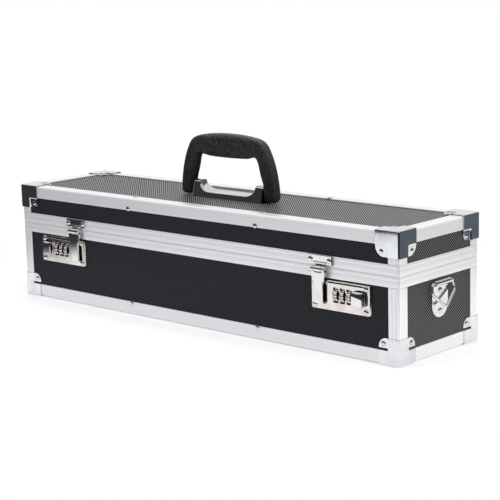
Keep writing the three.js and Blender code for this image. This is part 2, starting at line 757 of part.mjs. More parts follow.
// The bent outline of the whole handle.
function handleOutline() {
  const point = ([across, up]) => [across * handleHalfSpan, up * handleRise];
  const toeHeight = toeRadius - legDepth / 2;
  const inner = handleHalfSpan - legWidth;
  const outside = [
    ...arc(handleHalfSpan - toeRadius, toeHeight, toeRadius, 0.75, 1),
    ...[...legOuterShares, ...crestShares].map(point),
  ];
  const inside = [
    ...arc(inner + toeRadius, toeHeight, toeRadius, 0.75, 0.5),
    [inner - legTaper, bracketSweep],
    ...[...legInnerShares, ...gripUnderShares].map(point),
  ];
  const mirrored = (points) => points.map(([across, up]) => [-across, up]);
  const leftOutside = mirrored(outside.slice(0, -1)).reverse();
  return [...outside, ...leftOutside, ...mirrored(inside), ...inside.slice(0, -1).reverse()];
}

// The grip's belly as [share of its half depth, share of its half length], closed on the axis at both ends.
const bellyShares = [[0, -1], [0.84, -1], [0.95, -0.6], [1, 0], [0.95, 0.6], [0.84, 1], [0, 1]];

// The moulded handle: the outline with rounded edges and round feet, a fuller belly under the hand and a
// socket in each leg.
function handleGrip() {
  const body = new THREE.ExtrudeGeometry(shapeOf(handleOutline()), {
    depth: legDepth - 2 * handleEdge,
    bevelThickness: handleEdge,
    bevelSize: handleEdge,
    bevelOffset: -handleEdge,
    bevelSegments: 2,
  });
  body.translate(0, 0, handleEdge - legDepth / 2).rotateX(Math.PI / 2);
  const foot = arc(0, 0, legDepth / 2, 0.5, 1, arcSteps * 4);
  const side = [...foot, [legDepth / 2, handleRise + overrun], [-legDepth / 2, handleRise + overrun]];
  const reach = handleHalfSpan + overrun;
  const under = handleRise * gripUnderShares.at(-1)[1] - gripSag;
  const over = handleRise * crestShares[1][1];
  const profile = bellyShares.map(([thick, along]) =>
    new THREE.Vector2((thick * gripDepth) / 2, along * gripHalfLength));
  const belly = new THREE.LatheGeometry(profile, barrelSides).rotateZ(-Math.PI / 2);
  belly.scale(1, 1, (over - under) / gripDepth).translate(0, 0, (over + under) / 2);
  const socketEnd = bracketHalfLength + handlePinLength + runGap;
  const sockets = [[bracketHalfLength, socketEnd], [-socketEnd, -bracketHalfLength]];
  const bores = sockets.map(([x0, x1]) => bar(handlePinRadius + runGap, x0, x1, 0, 0));
  return cut(join(common(body, alongX(side, -reach, reach)), belly), ...bores);
}

// The pressed bracket: a floor, two walls that dip under the hand, two ends and the handle's pins.
function handleBracket() {
  const low = seatGap - pinLift;
  const depth = bracketDepth / 2;
  const half = bracketHalfLength;
  const top = low + bracketEndHeight;
  const ramp = Array.from({ length: rampSteps + 1 }, (_, i) => {
    const rise = (1 - Math.cos((Math.PI * i) / rampSteps)) / 2;
    return [
      bracketDipHalf + (bracketRamp * i) / rampSteps,
      low + bracketDipHeight + (bracketEndHeight - bracketDipHeight) * rise,
    ];
  });
  const outline = [
    [-half, low],
    [half, low],
    [half, top],
    ...ramp.slice().reverse(),
    ...ramp.map(([x, z]) => [-x, z]),
    [-half, top],
  ];
  const floor = block([-half, -depth, low], [half, depth, low + bracketSheet]);
  const walls = [alongY(outline, -depth, bracketSheet - depth), alongY(outline, depth - bracketSheet, depth)];
  const ends = [[-half, bracketSheet - half], [half - bracketSheet, half]];
  const plates = ends.map(([x0, x1]) => block([x0, -depth, low], [x1, depth, top]));
  const tip = half + handlePinLength;
  const pins = [[-tip, bracketSheet - half], [half - bracketSheet, tip]];
  return join(floor, ...walls, ...plates, ...pins.map(([x0, x1]) => bar(handlePinRadius, x0, x1, 0, 0)));
}

// A strap ring's plate, drawn at the ring's pivot on the right-hand end: X out of the case, Z up.
function strapPlateBody() {
  const back = seatGap - boardInset;
  const front = back + strapPlate;
  const half = strapWidth / 2;
  const footCentre = half - strapLength;
  const outline = [[half, 0], ...arc(0, footCentre, half, 0, -0.5, arcSteps * 4), [-half, 0]];
  const plate = alongX(outline, back, front);
  const shoulder = block([back, -half, -strapFold / 2], [ringPivotOut, half, strapFold / 2]);
  const fold = barY(strapFold, -half, half, ringPivotOut, 0);
  const bore = barY(wireRadius + ringClearance, -half - overrun, half + overrun, ringPivotOut, 0);
  const drops = [strapRivetDrop, strapLength - strapRivetInset];
  const heads = drops.map((drop) => rivet([front, 0, -drop], towardsEnd));
  return join(cut(join(plate, shoulder, fold), bore), ...heads);
}

// A path through corner points with each corner rounded by a trim.
function roundedPath(points, trims) {
  const path = new THREE.CurvePath();
  let from = points[0];
  for (let i = 1; i < points.length - 1; i++) {
    const trim = trims[i - 1];
    const before = points[i].clone().lerp(points[i - 1], trim / points[i].distanceTo(points[i - 1]));
    const after = points[i].clone().lerp(points[i + 1], trim / points[i].distanceTo(points[i + 1]));
    path.add(new THREE.LineCurve3(from, before));
    path.add(new THREE.QuadraticBezierCurve3(before, points[i], after));
    from = after;
  }
  path.add(new THREE.LineCurve3(from, points.at(-1)));
  return path;
}

// The wire ring, hanging from its bar. Its ends meet in the fold.
function strapRing() {
  const at = (y, z) => new THREE.Vector3(ringPivotOut, y, z);
  const points = [
    at(ringButtGap / 2, 0),
    at(ringTopHalf, 0),
    at(ringHalf, -ringShoulderDrop),
    at(0, -ringDrop),
    at(-ringHalf, -ringShoulderDrop),
    at(-ringTopHalf, 0),
    at(-ringButtGap / 2, 0),
  ];
  const trims = [ringBend, ringBend, ringTipBend, ringBend, ringBend];
  const section = new THREE.Shape().absarc(0, 0, wireRadius, 0, 2 * Math.PI);
  return new THREE.ExtrudeGeometry(section, {
    extrudePath: roundedPath(points, trims),
    steps: ringSteps,
    curveSegments: wireSides,
    bevelEnabled: false,
  });
}

// Runs a step for each end of the case, with the side's name and its sign along X.
function forBothEnds(step) {
  step("left", -1);
  step("right", 1);
}

const root = new THREE.Group();
const base = new THREE.Group();
const lid = new THREE.Group();
root.add(base, lid);

function addBoards() {
  const low = floorBoardTop + seatGap;
  const top = seamHeight - sheet - seatGap;
  const lidLow = lidBottom + grooveDepth + sheet + seatGap;
  const lidTop = topBoardFace - boardThickness - seatGap;
  const cutouts = housingCuts(seatGap, 0, innerInset + overrun);
  const walls = [
    ["base", base, longBoard(low, top, cutouts), longBoard(low, top), endBoard(low, top)],
    ["lid", lid, longBoard(lidLow, lidTop), longBoard(lidLow, lidTop), endBoard(lidLow, lidTop)],
  ];
  for (const [half, group, front, back, end] of walls) {
    group.add(piece(`${half}_front_board`, front, finish.board));
    const rear = piece(`${half}_back_board`, back, finish.board);
    rear.scale.y = -1;
    group.add(rear);
    forBothEnds((name, side) => {
      const board = piece(`${half}_${name}_board`, end, finish.board);
      board.scale.x = side;
      group.add(board);
    });
  }
  base.add(piece("base_bottom_board", flatBoard(floorLift + boardInset, floorBoardTop), finish.board));
  lid.add(piece("lid_top_board", flatBoard(topBoardFace - boardThickness, topBoardFace), finish.board));
}

function addFrames() {
  base.add(piece("base_bottom_frame", bottomFrame(), finish.aluminium));
  base.add(piece("base_rim", baseRim(), finish.aluminium));
  lid.add(piece("lid_rim", lidRim(), finish.aluminium));
  lid.add(piece("lid_top_frame", topFrame(), finish.aluminium));
  const basePost = post(floorLift + frameWidth + seatGap, seamHeight - rimHeight - seatGap);
  const lidPost = post(lidBottom + rimHeight + seatGap, caseHeight - frameWidth - seatGap);
  const baseCorner = corner({
    length: baseCornerReach,
    width: baseCornerReach,
    height: baseCornerHeight,
    proud: baseCornerProud,
    slit: baseCornerSlit,
  });
  const lidCorner = corner({
    length: lidCornerLength,
    width: lidCornerWidth,
    height: lidCornerHeight,
    proud: lidCornerProud,
    slit: 0,
  });
  for (const [depth, sy] of [["front", -1], ["back", 1]]) {
    forBothEnds((name, sx) => {
      const place = `${depth}_${name}`;
      const lower = piece(`base_post_${place}`, basePost, finish.aluminium);
      const upper = piece(`lid_post_${place}`, lidPost, finish.aluminium);
      lower.scale.set(sx, -sy, 1);
      upper.scale.set(sx, -sy, 1);
      const foot = piece(`base_corner_${place}`, baseCorner, finish.chrome);
      foot.position.set(sx * halfLength, sy * halfWidth, floorLift);
      foot.scale.set(-sx, -sy, 1);
      const cap = piece(`lid_corner_${place}`, lidCorner, finish.chrome);
      cap.position.set(sx * halfLength, sy * halfWidth, caseHeight);
      cap.scale.set(-sx, -sy, -1);
      base.add(lower, foot);
      lid.add(upper, cap);
    });
  }
}

function addLatches() {
  const parts = { body: lockBody(), wheel: dial(), button: slider(), arm: hasp(), hanger: keeper() };
  forBothEnds((name, side) => {
    const latch = new THREE.Group();
    latch.position.set(side * latchOffset, frontFace, seamHeight);
    latch.scale.x = side;
    latch.add(piece(`${name}_lock_body`, parts.body, finish.nickel));
    for (let i = 0; i < dialCount; i++) {
      const wheel = piece(`${name}_dial_${i + 1}`, parts.wheel, finish.nickel);
      wheel.position.set(dialPlace(i), dialDepth, -dialDrop);
      latch.add(wheel);
    }
    latch.add(piece(`${name}_release_slider`, parts.button, finish.chrome));
    latch.add(piece(`${name}_hasp`, parts.arm, finish.chrome));
    latch.add(piece(`${name}_keeper`, parts.hanger, finish.chrome));
    root.add(latch);
  });
}

function addHinges() {
  const parts = { lower: hingeLeaf(baseKnuckles), upper: hingeLeaf(lidKnuckles), pin: hingePin() };
  forBothEnds((name, side) => {
    const hinge = new THREE.Group();
    hinge.position.set(side * (halfLength - hingeInset), halfWidth + hingePinOut, hingeAxisHeight);
    const lower = piece(`${name}_hinge_base_leaf`, parts.lower, finish.steel);
    lower.scale.z = -1;
    hinge.add(lower);
    hinge.add(piece(`${name}_hinge_lid_leaf`, parts.upper, finish.steel));
    hinge.add(piece(`${name}_hinge_pin`, parts.pin, finish.steel));
    root.add(hinge);
  });
}

function addHandle() {
  const handle = new THREE.Group();
  handle.position.z = handlePinHeight;
  handle.add(piece("handle_bracket", handleBracket(), finish.chrome));
  handle.add(piece("handle_grip", handleGrip(), finish.plastic));
  lid.add(handle);
}

function addStrapRings() {
  const parts = { plate: strapPlateBody(), ring: strapRing() };
  forBothEnds((name, side) => {
    const end = new THREE.Group();
    end.position.set(side * halfLength, 0, ringPivotHeight);
    end.scale.x = side;
    end.add(piece(`${name}_strap_plate`, parts.plate, finish.chrome));
    end.add(piece(`${name}_strap_ring`, parts.ring, finish.chrome));
    base.add(end);
  });
}

function addLining() {
  base.add(piece("base_lining", baseLiner(), finish.foam));
  lid.add(piece("lid_lining", lidLiner(), finish.foam));
  const blades = piece("blade_rack", rack(bladeSlotWidth, bladeSlotDepth), finish.foam);
  blades.position.x = rackInset - halfLength;
  const handles = piece("handle_rack", rack(handleNotchWidth, handleNotchDepth), finish.foam);
  handles.position.x = halfLength - rackInset;
  base.add(blades, handles);
}

addBoards();
addFrames();
addLatches();
addHinges();
addHandle();
addStrapRings();
addLining();

export default root;
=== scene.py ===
# %% [markdown]
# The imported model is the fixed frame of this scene. A hard case for chef's knives stands in it with its
# latches to -Y and its length along X. The boards keep their CAD shape, and the metal, the handle and the
# foam get finer surfaces in the same places.

import bmesh
import bpy
import numpy as np
from mathutils import Matrix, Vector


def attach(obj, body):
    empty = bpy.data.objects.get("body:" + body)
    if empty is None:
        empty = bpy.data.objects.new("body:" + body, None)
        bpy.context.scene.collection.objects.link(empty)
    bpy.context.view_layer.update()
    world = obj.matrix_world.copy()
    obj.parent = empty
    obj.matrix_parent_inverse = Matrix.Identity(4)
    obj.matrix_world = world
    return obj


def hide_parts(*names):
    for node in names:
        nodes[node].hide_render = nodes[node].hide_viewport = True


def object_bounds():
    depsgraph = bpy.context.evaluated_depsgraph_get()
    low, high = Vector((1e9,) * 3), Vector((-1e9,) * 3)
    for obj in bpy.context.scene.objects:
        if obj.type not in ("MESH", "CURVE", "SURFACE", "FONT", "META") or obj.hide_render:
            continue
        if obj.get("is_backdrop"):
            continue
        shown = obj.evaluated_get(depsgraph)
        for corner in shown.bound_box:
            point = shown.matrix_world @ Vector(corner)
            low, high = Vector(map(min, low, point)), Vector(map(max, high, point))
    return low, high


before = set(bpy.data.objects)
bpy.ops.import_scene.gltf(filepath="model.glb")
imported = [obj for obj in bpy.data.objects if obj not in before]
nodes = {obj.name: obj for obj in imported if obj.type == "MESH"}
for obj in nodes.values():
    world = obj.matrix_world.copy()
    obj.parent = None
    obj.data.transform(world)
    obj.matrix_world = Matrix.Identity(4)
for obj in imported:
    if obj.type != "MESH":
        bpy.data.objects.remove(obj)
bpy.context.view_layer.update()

# %% [markdown]
# The case measures 560 x 135 x 134 mm. Several pieces share these lengths. They are in millimetres, as on a
# drawing, and become metres when a mesh is made.

# %% Shared lengths
half_length, half_width = 280.0, 67.5
case_top, seam, lid_low, foot = 134.0, 89.7, 90.0, 0.95
sheet, edge_radius = 1.2, 2.4
frame_width, post_width = 14.0, 13.4
rim_height, rim_depth = 11.2, 7.8
latch_x = 183.5
print("seam at", seam, "mm, top at", case_top, "mm")

# %% [markdown]
# A surface is worked out as whole arrays of points, and its faces as arrays of point numbers. Most pressed
# and extruded parts are a tube: one closed outline, carried along a line.

# %% Grids and tubes
def grid_faces(rows, columns, round_rows=False, round_columns=False):
    """Quads of a grid. A round grid also joins its last row or column to its first."""
    row, column = np.meshgrid(np.arange(rows - (not round_rows)), np.arange(columns - (not round_columns)),
                              indexing="ij")
    here, below, beside = row * columns, (row + 1) % rows * columns, (column + 1) % columns
    quads = here + column, here + beside, below + beside, below + column
    return np.stack([q.ravel() for q in quads], axis=1)


def lines_between(*stops):
    """Grid lines from (position, number of cells up to it) pairs, the first with no cells before it."""
    spans = [np.linspace(a, b, n + 1)[1:] for (a, _), (b, n) in zip(stops[:-1], stops[1:])]
    return np.concatenate([[stops[0][0]], *spans])


def skin(rings, loop=False):
    """A tube through closed rings of points. It has a face at both ends, or as a loop joins its ends."""
    rows, columns, _ = rings.shape
    faces = [grid_faces(rows, columns, loop, True)]
    if not loop:
        faces += [np.arange(columns)[None, ::-1], np.arange(columns)[None] + (rows - 1) * columns]
    return rings.reshape(-1, 3), faces


def merge(*surfaces):
    """Several surfaces as one: point numbers move up by the number of points before them."""
    starts = np.cumsum([0] + [len(points) for points, _ in surfaces[:-1]])
    faces = [block + start for (_, blocks), start in zip(surfaces, starts) for block in blocks]
    return np.vstack([points for points, _ in surfaces]), faces


def moved(surface, shift=(0, 0, 0), scale=(1, 1, 1)):
    """A surface with its points scaled, then shifted."""
    points, faces = surface
    return points * np.array(scale, float) + np.array(shift, float), faces


print("a 3 x 4 grid has", len(grid_faces(3, 4)), "quads")

# %% [markdown]
# Metal never has a knife-sharp edge, so the corners of an outline are rounded before it is carried along.

# %% Rounded outlines and prisms
def rounded(corners, radii, steps=5):
    """Rounds an outline. An arc of radius r leaves both sides r / tan(half the corner's angle) away from the
    corner, and its centre lies r / sin(half the angle) along the line that halves it."""
    corner = np.array(corners, float)
    radius = np.broadcast_to(np.asarray(radii, float), len(corner))[:, None]
    before, after = np.roll(corner, 1, axis=0) - corner, np.roll(corner, -1, axis=0) - corner
    before /= np.linalg.norm(before, axis=1, keepdims=True)
    after /= np.linalg.norm(after, axis=1, keepdims=True)
    half = np.arccos(np.clip((before * after).sum(axis=1, keepdims=True), -1, 1)) / 2
    middle = (before + after) / np.linalg.norm(before + after, axis=1, keepdims=True)
    centre = corner + middle * radius / np.sin(half)
    start = corner + before * radius / np.tan(half) - centre
    stop = corner + after * radius / np.tan(half) - centre
    share, turn = np.linspace(0, 1, steps + 1)[None, :, None], np.pi - 2 * half[:, None, :]
    swept = np.sin((1 - share) * turn) * start[:, None] + np.sin(share * turn) * stop[:, None]
    points = (centre[:, None] + swept / np.sin(turn)).reshape(-1, 2)
    return points[np.linalg.norm(points - np.roll(points, 1, axis=0), axis=1) > 1e-6]


def carried(outline, start, stop, axis):
    """A prism: an outline in the two other directions, carried along an axis from start to stop."""
    rings = np.empty((2, len(outline), 3))
    rings[:, :, axis] = np.array([start, stop])[:, None]
    rings[:, :, [i for i in range(3) if i != axis]] = outline
    return skin(rings)


def rectangle(x0, x1, y0, y1, radii, steps=5):
    return rounded([[x0, y0], [x1, y0], [x1, y1], [x0, y1]], radii, steps)


def arc(start, stop, count):
    """Points of the circle of radius 1 between two angles in degrees."""
    turn = np.radians(np.linspace(start, stop, count))
    return np.column_stack([np.cos(turn), np.sin(turn)])


print("a rounded square has", len(rectangle(0, 1, 0, 1, 0.2)), "points")

# %% [markdown]
# Pins, rivet heads and knuckles are turned: a profile goes round an axis. Blocks with soft edges come from
# a box whose points are pulled in to a smaller box and pushed out again by the edge radius.

# %% Turned shapes and soft blocks
def turned(profile, centre, axis, steps=28):
    """A profile of [radius, height] pairs, carried round an axis through a centre."""
    radius, height = np.array(profile, float).T
    axis = np.array(axis, float)
    across = np.cross(axis, np.roll(axis, 1))
    up = np.cross(axis, across)
    angle = np.linspace(0, 2 * np.pi, steps, endpoint=False)
    circle = np.cos(angle)[:, None] * across + np.sin(angle)[:, None] * up
    points = np.array(centre, float) + height[:, None, None] * axis + radius[:, None, None] * circle
    return points.reshape(-1, 3), [grid_faces(len(radius), steps, False, True)]


def rod(radius, start, length, axis, ease=0.25, steps=32):
    """A round pin from a start point along an axis, chamfered at both ends."""
    near_end = [[0, 0], [radius - ease, 0], [radius, ease]]
    return turned(near_end + [[r, length - h] for r, h in near_end[::-1]], start, axis, steps)


def rivet(point, direction, radius=2.8, height=1.3):
    """A domed rivet head: a quarter ellipse, sunk 0.3 mm into the sheet that it holds."""
    dome = arc(90, 0, 7) * [radius, 0.82 * height] + [0, 0.18 * height]
    return turned(np.vstack([dome, [[radius, -0.3], [0, -0.3]]]), point, direction)


def soft_block(low, high, radius, pitch=None, steps=3):
    """A box with rounded edges. Each point p of the plain box is pulled to the nearest point q of the box
    that is smaller by the radius, and ends at q + radius * (p - q) / |p - q|."""
    low, high = np.array(low, float), np.array(high, float)
    cells = np.ceil((high - low - 2 * radius) / pitch).astype(int) if pitch else [1, 1, 1]
    lines = [lines_between((a, 0), (a + radius, steps), (b - radius, n), (b, steps))
             for a, b, n in zip(low, high, cells)]
    sides = []
    for axis, level in [(i, end[i]) for i in range(3) for end in (low, high)]:
        u, v = (axis + 1) % 3, (axis + 2) % 3
        side = np.full((len(lines[u]), len(lines[v]), 3), level)
        side[..., u], side[..., v] = lines[u][:, None], lines[v][None, :]
        sides.append((side.reshape(-1, 3), [grid_faces(len(lines[u]), len(lines[v]))]))
    points, faces = merge(*sides)
    inner = np.clip(points, low + radius, high - radius)
    out = points - inner
    return inner + radius * out / np.linalg.norm(out, axis=1, keepdims=True), faces


print("a rivet head has", len(rivet((0, 0, 0), (0, 0, 1))[0]), "points")

# %% [markdown]
# One function turns a surface into a finished piece. It welds the seams, turns every face outwards, shades
# it smooth between its real edges, hangs it on the body it rides on and hides the CAD node it stands for.

# %% Make a piece
def in_scene(name, data):
    """An object that shows a mesh, a curve, a lamp or a camera."""
    thing = bpy.data.objects.new(name, data)
    bpy.context.scene.collection.objects.link(thing)
    return thing


def make_piece(name, surface, finish, slot, body, node, bevel=0, sharp=32, weld=0.002, grain=None, wall=0):
    """A mesh in metres from points in millimetres. bevel is the width of a rounding of its sharp edges, and
    wall the thickness that a single sheet gets."""
    points, faces = surface
    mesh = bpy.data.meshes.new(name)
    mesh.from_pydata((points * 0.001).tolist(), [], [face for block in faces for face in block.tolist()])
    if grain is not None:
        carried_value = mesh.attributes.new("grain", "FLOAT", "POINT").data
        carried_value.foreach_set("value", np.asarray(grain, np.float32))
    shell = bmesh.new()
    shell.from_mesh(mesh)
    bmesh.ops.remove_doubles(shell, verts=shell.verts, dist=weld * 0.001)
    bmesh.ops.recalc_face_normals(shell, faces=shell.faces)
    shell.to_mesh(mesh)
    shell.free()
    mesh.shade_smooth()
    mesh.materials.append(finish)
    piece = in_scene(name, mesh)
    if wall:
        sheet_wall = piece.modifiers.new("wall", "SOLIDIFY")
        sheet_wall.thickness, sheet_wall.offset = wall * 0.001, -1
    if bevel:
        edge = piece.modifiers.new("edge", "BEVEL")
        edge.width, edge.segments, edge.limit_method = bevel * 0.001, 2, "ANGLE"
        edge.angle_limit, edge.harden_normals = np.radians(sharp), True
    else:
        mesh.set_sharp_from_angle(angle=np.radians(sharp))
        if wall:
            sides = np.empty(len(mesh.loops), int)
            mesh.loops.foreach_get("edge_index", sides)
            creases = np.empty(len(mesh.edges), bool)
            mesh.edges.foreach_get("use_edge_sharp", creases)
            open_edges = np.bincount(sides, minlength=len(creases)) == 1
            mesh.edges.foreach_set("use_edge_sharp", creases | open_edges)
        piece.modifiers.new("flat_faces", "WEIGHTED_NORMAL").keep_sharp = True
    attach(piece, body)
    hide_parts(node)
    print(name, len(mesh.polygons), "faces")
    return piece


# %% [markdown]
# Colours are picked as sRGB hex values, and shaders work in linear light. These functions convert a colour
# and add shader nodes: a sum, a rising share, soft clouds, a mix.

# %% Colours and nodes
def linear(code):
    """#rrggbb as linear RGBA: c / 12.92 for dark values, ((c + 0.055) / 1.055) ** 2.4 above 0.04045."""
    c = np.array([int(code[i:i + 2], 16) for i in (1, 3, 5)]) / 255
    return (*np.where(c <= 0.04045, c / 12.92, ((c + 0.055) / 1.055) ** 2.4), 1.0)


def feed(tree, node, inputs):
    """Sets inputs, found by name or number, to the output that feeds them, to a hex colour or to a value."""
    for key, value in inputs.items():
        if isinstance(value, bpy.types.NodeSocket):
            tree.links.new(value, node.inputs[key])
        else:
            node.inputs[key].default_value = linear(value) if isinstance(value, str) else value


def add(tree, kind, inputs=None, output=0, **settings):
    """Adds a shader node with its settings and its inputs, and gives one of its outputs."""
    node = tree.nodes.new("ShaderNode" + kind)
    for key, value in settings.items():
        setattr(node, key, value)
    feed(tree, node, inputs or {})
    return node.outputs[output]


def calc(tree, operation, *values):
    return add(tree, "Math", dict(enumerate(values)), operation=operation)


def ramp(tree, value, low, high, shape="LINEAR"):
    """A share that rises from 0 at low to 1 at high."""
    return add(tree, "MapRange", {0: value, 1: low, 2: high}, interpolation_type=shape)


def clouds(tree, place, scale, detail, roughness=0.5):
    """Noise from 0 to 1 whose largest clouds are 1 / scale metres wide."""
    return add(tree, "TexNoise", {"Vector": place, "Scale": scale, "Detail": detail, "Roughness": roughness})


def blend(tree, share, low, high):
    """Mixes two colours, or two values where the second one is a number."""
    kind, (first, second, result) = ("FLOAT", (2, 3, 0)) if isinstance(high, float) else ("RGBA", (6, 7, 2))
    return add(tree, "Mix", {0: share, first: low, second: high}, result, data_type=kind)


def paint(tree, surface, colour, roughness, *bump):
    """Gives a shader its colour, its roughness and a relief: a height, its depth in metres and a strength."""
    feed(tree, surface, {"Base Color": colour, "Roughness": roughness})
    if bump:
        normal = add(tree, "Bump", dict(zip(("Height", "Distance", "Strength"), bump)))
        feed(tree, surface, {"Normal": normal})


def new_material(name, constants=None):
    """A material, its nodes, its shader with constant values, and the place on the piece."""
    material = bpy.data.materials.new(name)
    material.use_nodes = True
    tree = material.node_tree
    surface = tree.nodes["Principled BSDF"]
    feed(tree, surface, constants or {})
    print("material:", name)
    return material, tree, surface, add(tree, "TexCoord", output="Object")


print("mid grey #808080 is", round(linear("#808080")[0], 3), "in linear light")

# %% [markdown]
# The boards are plywood under a black laminate with a fine diamond emboss. Two sets of ribs run at 45
# degrees. One set stands higher, so it reads as diagonal stripes that the other set breaks into links. The
# ribs' tops are worn smooth, and their pale colour is a painted highlight on the black laminate. The ends and
# the top get paler crests than the long sides: painted light, for the light that those boards catch.

# %% Embossed laminate
rib_pitch = 0.0032


def laminate(name, across, up, lean, valley, lit_crest, sheen, gloss):
    """Ribs of height 0.5 + 0.5 cos(p), broken by 0.5 + 0.5 cos(q), where p grows across the high ribs and q
    across the low ones. lean is 1 where the high ribs fall to the right and -1 where they rise."""
    material, tree, surface, place = new_material(name)
    axes = add(tree, "SeparateXYZ", {0: place}).node.outputs
    waves = []
    for sign in (lean, -lean):
        diagonal = calc(tree, "MULTIPLY_ADD", axes[up], float(sign), axes[across])
        wave = calc(tree, "COSINE", calc(tree, "MULTIPLY", diagonal, 2 * np.pi / rib_pitch))
        waves.append(calc(tree, "MULTIPLY_ADD", wave, 0.5, 0.5))
    height = calc(tree, "MULTIPLY", waves[0], calc(tree, "MULTIPLY_ADD", waves[1], 0.5, 0.5))
    top = calc(tree, "POWER", height, 1.6)
    dark = blend(tree, clouds(tree, place, 38.0, 4.0), valley, "#0a0a0b")
    # The crest colour is a painted highlight and sheen. The valleys keep the laminate's own black.
    paint(tree, surface, blend(tree, top, dark, lit_crest), blend(tree, top, 0.6, 0.26), height, 0.0002, 0.4)
    feed(tree, surface, {"Specular IOR Level": blend(tree, top, sheen, gloss)})
    return material


# Each board's crest colour is painted light: paler on the ends and palest on the top, where more light falls.
for where, boards, *looks in (
        ("long_sides", ("front_board", "back_board"), 0, 2, -1, "#08080a", "#4c4c54", 0.03, 0.3),
        ("ends", ("left_board", "right_board"), 1, 2, 1, "#0c0c0c", "#80807e", 0.05, 0.6),
        ("top", ("top_board", "bottom_board"), 0, 1, 1, "#0c0c0c", "#a4a4a6", 0.16, 1.0)):
    material = laminate("embossed_laminate_on_" + where, *looks)
    for name in [n for n in nodes if n.endswith(boards)]:
        nodes[name].data.materials.clear()
        nodes[name].data.materials.append(material)
        print(name, "is covered with", material.name)

# %% [markdown]
# The frame is extruded aluminium with a clear satin anodising. The die leaves fine lines along the profile,
# 0.3 to 1 mm apart in bands 1 to 2 mm wide. So the pattern reads a value that each mesh carries: how far
# round the profile a point lies, in millimetres.

# %% Anodised aluminium
anodised, tree, surface, place = new_material("satin_anodised_aluminium", {"Metallic": 0.35})
lines = add(tree, "Attribute", output="Fac", attribute_name="grain")
fine = add(tree, "TexNoise", {"W": lines, "Scale": 2.2, "Detail": 3.0, "Roughness": 0.7},
           noise_dimensions="1D")
broad = add(tree, "TexNoise", {"W": lines, "Scale": 0.55, "Detail": 1.0}, noise_dimensions="1D")
die_lines = ramp(tree, fine, 0.3, 0.7)
tone = blend(tree, die_lines, "#d9dadc", "#eeeff0")
patches = blend(tree, clouds(tree, place, 25.0, 3.0), 0.26, 0.32)
paint(tree, surface, blend(tree, ramp(tree, broad, 0.38, 0.62), tone, "#f7f7f7"),
      blend(tree, die_lines, patches, 0.38), fine, 0.00008, 0.6)

# %% [markdown]
# Every plated part is pressed steel with nickel, chrome or zinc on it: a metal with a tint, a roughness
# that drifts in soft clouds a centimetre wide, and a slight unevenness from the press. The lid's corners
# are bright, and the lower corners, the strap rings and the hinges are duller.

# %% Plated steel
def plating(name, pale, deep, smooth, dull, cloud_size, unevenness):
    """A metal between two tints and two roughnesses, in clouds cloud_size mm across."""
    material, tree, surface, place = new_material(name, {"Metallic": 1.0})
    cloud = clouds(tree, place, 1000 / cloud_size, 1.0)
    share = ramp(tree, cloud, 0.35, 0.65)
    speckled = blend(tree, clouds(tree, place, 1400.0, 2.0), smooth, smooth * 1.3)
    paint(tree, surface, blend(tree, share, pale, deep), blend(tree, share, speckled, dull),
          cloud, unevenness * 0.001, 0.5)
    return material


corner_chrome = plating("bright_chrome_plate", "#dcdee0", "#d2d5d8", 0.05, 0.09, 12, 0.025)
corner_satin = plating("satin_zinc_plate", "#e4e5e7", "#dadcdf", 0.2, 0.28, 12, 0.012)
nickel = plating("satin_nickel_plate", "#dbd6d2", "#cfc9c4", 0.08, 0.13, 12, 0.01)
latch_chrome = plating("polished_nickel_plate", "#dcdcdb", "#d2d3d4", 0.05, 0.08, 14, 0.008)
hinge_steel = plating("clear_zinc_plated_steel", "#cfd1d3", "#b4b8bc", 0.26, 0.38, 4, 0.04)

# %% [markdown]
# The dials' numbers are filled with black enamel. The cup behind a lock plate is black steel, and its black
# in the gaps beside the dials and the hasp stands partly for the shade in those gaps. The black discs on the
# dials' sides are painted shade: the dark gap beside each dial.

# %% Black enamel, black steel and painted shade
def black(name, constants, scale, detail, deep, pale, smooth, dull):
    """A dark finish between two tones and two roughnesses, in clouds 1 / scale metres across."""
    material, tree, surface, place = new_material(name, constants)
    cloud = clouds(tree, place, scale, detail)
    paint(tree, surface, blend(tree, cloud, deep, pale), blend(tree, cloud, smooth, dull))
    return material


enamel = black("black_enamel", {"Coat Weight": 0.3}, 1500.0, 2.0, "#101012", "#232326", 0.3, 0.5)
black_steel_and_shade = black("black_oxide_steel", {"Metallic": 0.6}, 120.0, 3.0, "#0c0c0d", "#1b1b1d", 0.45, 0.65)

# %% [markdown]
# The handle is moulded ABS with a leather grain: a net of creases round small pebbles, so cells give the
# pebbles and their edges the creases. Real pebbles are 1.2 mm wide. They are drawn at 1.9 mm so that they
# show. The creases are painted darker as painted shade, and pale specks on the pebbles are painted
# highlights.

# %% Grained ABS
grained, tree, surface, place = new_material("leather_grained_abs", {"Specular IOR Level": 0.8})
wander = add(tree, "TexNoise", {"Vector": place, "Scale": 260.0, "Detail": 2.0}, "Color")
bent = add(tree, "VectorMath", {0: wander, 1: (0.0016, 0.0016, 0.0016)}, operation="MULTIPLY")
pebble_place = add(tree, "VectorMath", {0: place, 1: bent}, operation="ADD")
cells = add(tree, "TexVoronoi", {"Vector": pebble_place, "Scale": 520.0}, feature="DISTANCE_TO_EDGE")
pebble = ramp(tree, cells, 0.0, 0.32, "SMOOTHSTEP")
# Pale, smoother specks on the pebbles: painted highlights.
shine = ramp(tree, clouds(tree, place, 420.0, 3.0, 0.7), 0.5, 0.6)
tone = blend(tree, shine, "#070709", "#34343e")
# The creases get the darkest colour: painted shade.
paint(tree, surface, blend(tree, pebble, "#040405", tone), blend(tree, shine, 0.45, 0.27),
      pebble, 0.00035, 0.8)

# %% [markdown]
# The lining and the racks are charcoal foam. Its pores are about 1 mm wide, so it has hardly any gloss, and
# every pore is painted a shade darker: painted shade in the pores.

